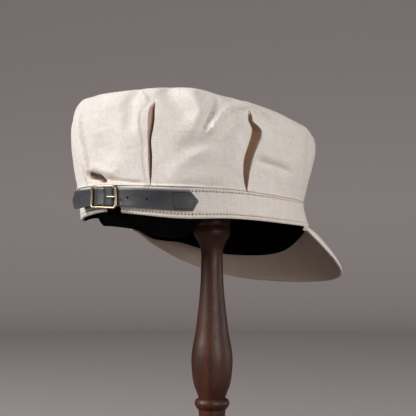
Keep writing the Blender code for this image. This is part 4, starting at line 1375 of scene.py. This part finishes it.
def node(tree, kind, inputs=None, **settings):
    """A shader node with its settings, its inputs set or linked by name or number."""
    made = tree.nodes.new(kind)
    for setting, value in settings.items():
        setattr(made, setting, value)
    for key, value in (inputs or {}).items():
        if isinstance(value, bpy.types.NodeSocket):
            tree.links.new(value, made.inputs[key])
        else:
            made.inputs[key].default_value = value
    return made


def maths(tree, operation, *values):
    return node(tree, "ShaderNodeMath", dict(enumerate(values)), operation=operation).outputs[0]


def noise(tree, place, scale, detail):
    inputs = {"Vector": place, "Scale": scale, "Detail": detail}
    return node(tree, "ShaderNodeTexNoise", inputs).outputs[0]


def blend_colour(tree, factor, low, high):
    """Blends two colours by a factor; low and high are colours or sockets."""
    made = tree.nodes.new("ShaderNodeMix")
    made.data_type = "RGBA"
    for index, value in ((0, factor), (6, low), (7, high)):
        if isinstance(value, bpy.types.NodeSocket):
            tree.links.new(value, made.inputs[index])
        else:
            made.inputs[index].default_value = value if index == 0 else (*value, 1.0)
    return made.outputs[2]


def tinted(tree, base, mask, amount, colour):
    """The base colour with this much of another one, where the mask is 1."""
    return blend_colour(tree, maths(tree, "MULTIPLY", mask, amount), base, colour)


def spread(tree, value, low, high, to_low=0.0, to_high=1.0):
    inputs = {"Value": value, "From Min": low, "From Max": high, "To Min": to_low, "To Max": to_high}
    return node(tree, "ShaderNodeMapRange", inputs).outputs[0]


def new_group(name, inputs, outputs):
    """An empty shader node group with named outputs and inputs: numbers, each with its starting value,
    or a vector where that is None."""
    tree = bpy.data.node_groups.new(name, "ShaderNodeTree")
    for label, start in inputs.items():
        kind = "NodeSocketVector" if start is None else "NodeSocketFloat"
        socket = tree.interface.new_socket(label, in_out="INPUT", socket_type=kind)
        if start is not None:
            socket.default_value = start
    for label in outputs:
        tree.interface.new_socket(label, in_out="OUTPUT", socket_type="NodeSocketFloat")
    return tree, tree.nodes.new("NodeGroupInput").outputs, tree.nodes.new("NodeGroupOutput").inputs


def place_group(tree, group, inputs):
    return node(tree, "ShaderNodeGroup", inputs, node_tree=group).outputs


def twill_group():
    """Denim's weave: thick warp threads crossed by a diagonal rib."""
    inputs = {"Vector": None, "Thread": 0.0007}
    tree, given, wanted = new_group("Twill weave", inputs, ["Height", "Gaps"])
    axes = node(tree, "ShaderNodeSeparateXYZ", {0: given["Vector"]}).outputs
    pace = maths(tree, "DIVIDE", 2 * math.pi, given["Thread"])
    wobble = maths(tree, "MULTIPLY", noise(tree, given["Vector"], 260.0, 2.0), 2.2)
    warp = maths(tree, "SINE", maths(tree, "ADD", maths(tree, "MULTIPLY", axes["X"], pace), wobble))
    weft = maths(tree, "SINE", maths(tree, "ADD", maths(tree, "MULTIPLY", axes["Y"], pace), wobble))
    lean = maths(tree, "ADD", axes["X"], maths(tree, "MULTIPLY", axes["Y"], 0.75))
    rib = maths(tree, "SINE", maths(tree, "MULTIPLY", lean, maths(tree, "MULTIPLY", pace, 0.5)))
    crossing = maths(tree, "MULTIPLY", warp, weft)
    height = maths(tree, "ADD", maths(tree, "MULTIPLY", crossing, 0.45), maths(tree, "MULTIPLY", rib, 0.35))
    tree.links.new(maths(tree, "MULTIPLY_ADD", height, 0.5, 0.5), wanted["Height"])
    tree.links.new(spread(tree, height, -0.25, -0.75), wanted["Gaps"])
    return tree


def slub_group():
    """Uneven threads: sparse streaks along the weft and the warp."""
    tree, given, wanted = new_group("Thread slubs", {"Vector": None}, ["Streaks", "Flecks"])
    streaks = []
    for scale in ((90.0, 1300.0, 1.0), (1300.0, 110.0, 1.0)):
        stretched = node(tree, "ShaderNodeMapping", {"Vector": given["Vector"], "Scale": scale}).outputs[0]
        streaks.append(spread(tree, noise(tree, stretched, 1.0, 1.0), 0.60, 0.78))
    tree.links.new(maths(tree, "MAXIMUM", *streaks), wanted["Streaks"])
    flecks = spread(tree, noise(tree, given["Vector"], 950.0, 1.0), 0.62, 0.71)
    tree.links.new(flecks, wanted["Flecks"])
    return tree


def tone_group():
    """Soft uneven tone over a surface, such as handling and fading leave."""
    tree, given, wanted = new_group("Uneven tone", {"Vector": None, "Scale": 20.0}, ["Tone", "Fine"])
    broad = noise(tree, given["Vector"], given["Scale"], 3.0)
    tree.links.new(spread(tree, broad, 0.32, 0.68), wanted["Tone"])
    fine = noise(tree, given["Vector"], maths(tree, "MULTIPLY", given["Scale"], 9.0), 4.0)
    tree.links.new(spread(tree, fine, 0.30, 0.70), wanted["Fine"])
    return tree


def grain_group():
    """Leather's pebbled grain."""
    tree, given, wanted = new_group("Leather grain", {"Vector": None, "Scale": 900.0}, ["Height"])
    cells = node(tree, "ShaderNodeTexVoronoi", {"Vector": given["Vector"], "Scale": given["Scale"]})
    cells.feature = "DISTANCE_TO_EDGE"
    crease = spread(tree, cells.outputs[0], 0.0, 0.16)
    pebbles = noise(tree, given["Vector"], given["Scale"], 2.0)
    tree.links.new(maths(tree, "MULTIPLY_ADD", pebbles, 0.5, crease), wanted["Height"])
    return tree


GROUPS = {"twill": twill_group(), "slubs": slub_group(), "tone": tone_group(), "grain": grain_group()}


def new_finish(name):
    made = bpy.data.materials.new(name)
    made.use_nodes = True
    return made, made.node_tree, made.node_tree.nodes["Principled BSDF"].inputs


def bumped(tree, height, distance, strength, onto):
    normal = node(tree, "ShaderNodeBump", {"Height": height, "Distance": distance, "Strength": strength})
    tree.links.new(normal.outputs[0], onto["Normal"])


def cloth_finish():
    """Undyed denim: weave, slubs and soft tone, with painted shade, darker and warmer, where it folds in."""
    made, tree, shader = new_finish("Cream denim")
    places = node(tree, "ShaderNodeUVMap", uv_map="Cloth").outputs[0]
    solid = node(tree, "ShaderNodeTexCoord").outputs["Object"]
    weave = place_group(tree, GROUPS["twill"], {"Vector": places, "Thread": 0.00085})
    slubs = place_group(tree, GROUPS["slubs"], {"Vector": places})
    tone = place_group(tree, GROUPS["tone"], {"Vector": solid, "Scale": 28.0})
    base = tinted(tree, CREAM, tone["Tone"], 0.55, CREAM_SHADE)
    base = tinted(tree, base, tone["Fine"], 0.60, CREAM_SHADE)
    base = tinted(tree, base, weave["Gaps"], 0.35, CREAM_GAP)
    base = tinted(tree, base, slubs["Streaks"], 0.45, CREAM_SLUB)
    base = tinted(tree, base, slubs["Flecks"], 0.62, CREAM_FLECK)
    # The fold mark paints shade in warm brown, and past 1 a dark painted shadow
    fold = node(tree, "ShaderNodeAttribute", attribute_name="fold", attribute_type="GEOMETRY").outputs["Fac"]
    base = blend_colour(tree, fold, base, FOLD_PAINTED_SHADE)
    base = blend_colour(tree, spread(tree, fold, 1.0, 2.0), base, DEEP_FOLD_PAINTED_SHADOW)
    tree.links.new(base, shader["Base Color"])
    height = maths(tree, "MULTIPLY_ADD", slubs["Streaks"], 0.5, weave["Height"])
    height = maths(tree, "MULTIPLY_ADD", tone["Fine"], 1.3, height)
    bumped(tree, height, 0.00030, 0.75, shader)
    shader["Roughness"].default_value = 0.92
    shader["Sheen Weight"].default_value = 0.15
    shader["Sheen Roughness"].default_value = 0.45
    shader["Specular IOR Level"].default_value = 0.25
    return made


def thread_finish(name, colour, shade, roughness):
    """Twisted sewing thread."""
    made, tree, shader = new_finish(name)
    solid = node(tree, "ShaderNodeTexCoord").outputs["Object"]
    tone = place_group(tree, GROUPS["tone"], {"Vector": solid, "Scale": 260.0})
    tree.links.new(blend_colour(tree, tone["Fine"], colour, shade), shader["Base Color"])
    bumped(tree, tone["Fine"], 0.0001, 0.5, shader)
    shader["Roughness"].default_value = roughness
    return made


def leather_finish(name, colour, worn, edge_wear_and_highlight, gloss, rough):
    """Black leather: fine grain, softly uneven gloss, paler along its edges, partly rubbed wear and
    partly a painted highlight. Its roughness runs between two values."""
    made, tree, shader = new_finish(name)
    solid = node(tree, "ShaderNodeTexCoord").outputs["Object"]
    grain = place_group(tree, GROUPS["grain"], {"Vector": solid, "Scale": 1500.0})
    tone = place_group(tree, GROUPS["tone"], {"Vector": solid, "Scale": 70.0})
    edge = node(tree, "ShaderNodeAttribute", attribute_name="edge", attribute_type="GEOMETRY").outputs["Fac"]
    base = tinted(tree, colour, tone["Tone"], 0.30, worn)
    # Paler edges: rubbed wear and a painted highlight
    base = tinted(tree, base, edge, edge_wear_and_highlight, LEATHER_EDGE_WEAR_AND_HIGHLIGHT)
    tree.links.new(base, shader["Base Color"])
    tree.links.new(spread(tree, tone["Fine"], 0.0, 1.0, *rough), shader["Roughness"])
    bumped(tree, grain["Height"], 0.00008, 0.35, shader)
    shader["Specular IOR Level"].default_value = gloss
    return made


def brass_finish():
    """Antiqued brass: brown patina and brighter wear, both in patches spread at random."""
    made, tree, shader = new_finish("Antique brass")
    solid = node(tree, "ShaderNodeTexCoord").outputs["Object"]
    tone = place_group(tree, GROUPS["tone"], {"Vector": solid, "Scale": 240.0})
    base = blend_colour(tree, tone["Tone"], BRASS, BRASS_BROWN)
    base = tinted(tree, base, tone["Fine"], 0.35, BRASS_WORN)
    tree.links.new(base, shader["Base Color"])
    tree.links.new(spread(tree, tone["Fine"], 0.0, 1.0, 0.34, 0.50), shader["Roughness"])
    bumped(tree, tone["Fine"], 0.00005, 0.25, shader)
    shader["Metallic"].default_value = 1.0
    return made


def wood_finish():
    """Dark stained hardwood with long grain, waxed to a soft shine."""
    made, tree, shader = new_finish("Dark turned wood")
    solid = node(tree, "ShaderNodeTexCoord").outputs["Object"]
    stretched = node(tree, "ShaderNodeMapping", {"Vector": solid, "Scale": (1.0, 1.0, 0.07)}).outputs[0]
    long = place_group(tree, GROUPS["tone"], {"Vector": stretched, "Scale": 120.0})
    pores = spread(tree, noise(tree, stretched, 1500.0, 2.0), 0.58, 0.72)
    patches = place_group(tree, GROUPS["tone"], {"Vector": solid, "Scale": 26.0})
    base = blend_colour(tree, long["Tone"], WOOD_DARK, WOOD_RED)
    base = tinted(tree, base, long["Fine"], 0.45, WOOD_STREAK)
    base = tinted(tree, base, patches["Tone"], 0.40, WOOD_PATCH)
    base = tinted(tree, base, pores, 0.60, WOOD_PORE)
    tree.links.new(base, shader["Base Color"])
    tree.links.new(spread(tree, long["Fine"], 0.0, 1.0, 0.36, 0.56), shader["Roughness"])
    bumped(tree, maths(tree, "SUBTRACT", long["Fine"], pores), 0.00010, 0.30, shader)
    shader["Specular IOR Level"].default_value = 0.35
    return made


def floor_finish():
    """Pale paper, with painted shade near the stand and high up its sweep. It throws little light back
    up, as under a gridded studio light."""
    made, tree, shader = new_finish("Pale studio paper")
    seen = node(tree, "ShaderNodeLightPath").outputs["Is Camera Ray"]
    solid = node(tree, "ShaderNodeTexCoord").outputs["Object"]
    away = node(tree, "ShaderNodeVectorMath", {0: solid}, operation="LENGTH").outputs["Value"]
    # Painted shade near the stand and high up the sweep
    paper = blend_colour(tree, spread(tree, away, 0.3, 1.9), PAPER_NEAR_PAINTED_SHADE, PAPER_FAR)
    paper = blend_colour(tree, spread(tree, away, 2.60, 2.88), paper, PAPER_TOP_PAINTED_SHADE)
    tree.links.new(blend_colour(tree, seen, PAPER_BOUNCE, paper), shader["Base Color"])
    shader["Roughness"].default_value = 0.95
    shader["Specular IOR Level"].default_value = 0.1
    return made


def make_floor():
    """A plain pale floor that sweeps up into a wall all round."""
    outline = [(FLOOR_RADIUS, 0.0)]
    for step in range(1, SWEEP_STEPS + 1):
        turn = math.pi / 2 * step / SWEEP_STEPS
        outline.append((FLOOR_RADIUS + SWEEP_RADIUS * math.sin(turn), SWEEP_RADIUS * (1 - math.cos(turn))))
    outline.append((FLOOR_RADIUS + SWEEP_RADIUS, SWEEP_RADIUS + SWEEP_WALL))
    turn = np.linspace(0, 2 * math.pi, FLOOR_STEPS, endpoint=False)
    ring = [(math.cos(angle), math.sin(angle)) for angle in turn]
    points = [(radius * x, radius * y, height) for radius, height in outline for x, y in ring]
    faces = [face[::-1] for face in grid_faces(len(outline), FLOOR_STEPS, 0, True).tolist()]
    faces.append(list(range(FLOOR_STEPS)))
    mesh = bpy.data.meshes.new("studio_floor")
    mesh.from_pydata(points, [], faces)
    mesh.shade_smooth()
    mesh.materials.append(floor_finish())
    floor = bpy.data.objects.new("studio_floor", mesh)
    floor.location.z = -FLOOR_DROP
    bpy.context.scene.collection.objects.link(floor)


def camera_axes():
    turn = math.radians(VIEW_AZIMUTH)
    back = Vector((math.sin(turn), -math.cos(turn), 0.0))
    right = Vector((math.cos(turn), math.sin(turn), 0.0))
    return back, right


def make_camera():
    """A level camera whose shift frames the cap as the photo does."""
    back, _ = camera_axes()
    data = bpy.data.cameras.new("camera")
    camera = bpy.data.objects.new("camera", data)
    bpy.context.scene.collection.objects.link(camera)
    bpy.context.scene.camera = camera
    camera.location = back * CAMERA_DISTANCE + Vector((0, 0, CAMERA_HEIGHT))
    camera.rotation_euler = (math.radians(90), 0, math.radians(VIEW_AZIMUTH))
    data.sensor_width = SENSOR
    data.lens = FOCAL_PIXELS / IMAGE_PIXELS * SENSOR
    data.shift_x = (IMAGE_PIXELS / 2 - AXIS_PIXEL) / IMAGE_PIXELS
    data.shift_y = (HORIZON_PIXEL - IMAGE_PIXELS / 2) / IMAGE_PIXELS


def make_light(name, place, size, power, colour):
    """A soft square light aimed at the cap."""
    data = bpy.data.lights.new(name, "AREA")
    data.size = size
    data.energy = power
    data.color = colour
    light = bpy.data.objects.new(name, data)
    light.location = place
    light.rotation_euler = (Vector(LIGHT_AIM) - place).to_track_quat("-Z", "Y").to_euler()
    bpy.context.scene.collection.objects.link(light)


def make_studio():
    back, right = camera_axes()
    up = Vector((0, 0, 1))
    for name, to_right, to_camera, rise, size, power, colour in LIGHTS:
        make_light(name, back * to_camera + right * to_right + up * rise, size, power, colour)
    world = bpy.data.worlds.new("studio")
    world.use_nodes = True
    background = world.node_tree.nodes["Background"].inputs
    background[0].default_value = WORLD_COLOUR
    background[1].default_value = WORLD_STRENGTH
    bpy.context.scene.world = world
    bpy.context.scene.view_settings.view_transform = "Standard"


def make_cap_and_stand():
    cloth = cloth_finish()
    thread = thread_finish("Tan thread", TAN_THREAD, TAN_THREAD_SHADE, 0.75)
    black_thread = thread_finish("Black thread", BLACK_THREAD, BLACK_THREAD_SHADE, 0.90)
    strap_leather = leather_finish("Black strap leather", STRAP_BLACK, STRAP_WORN, 0.60, 0.75, (0.33, 0.48))
    soft_leather = leather_finish("Black lining leather", LINING_BLACK_WITH_PAINTED_SHADE, LINING_WORN, 0.02, 0.0, (0.75, 0.90))
    brass = brass_finish()
    make_crown(cloth)
    for half in ("right", "left"):
        make_band_half(half, cloth)
    make_band_stitches(thread)
    make_sweatband(soft_leather)
    make_peak(cloth)
    make_peak_stitches(thread)
    make_strap(strap_leather)
    make_keeper(strap_leather)
    make_patch_stitches(black_thread)
    make_buckle(brass)
    make_prong(brass)
    make_stand(wood_finish())


make_camera()
make_studio()
make_floor()
make_cap_and_stand()
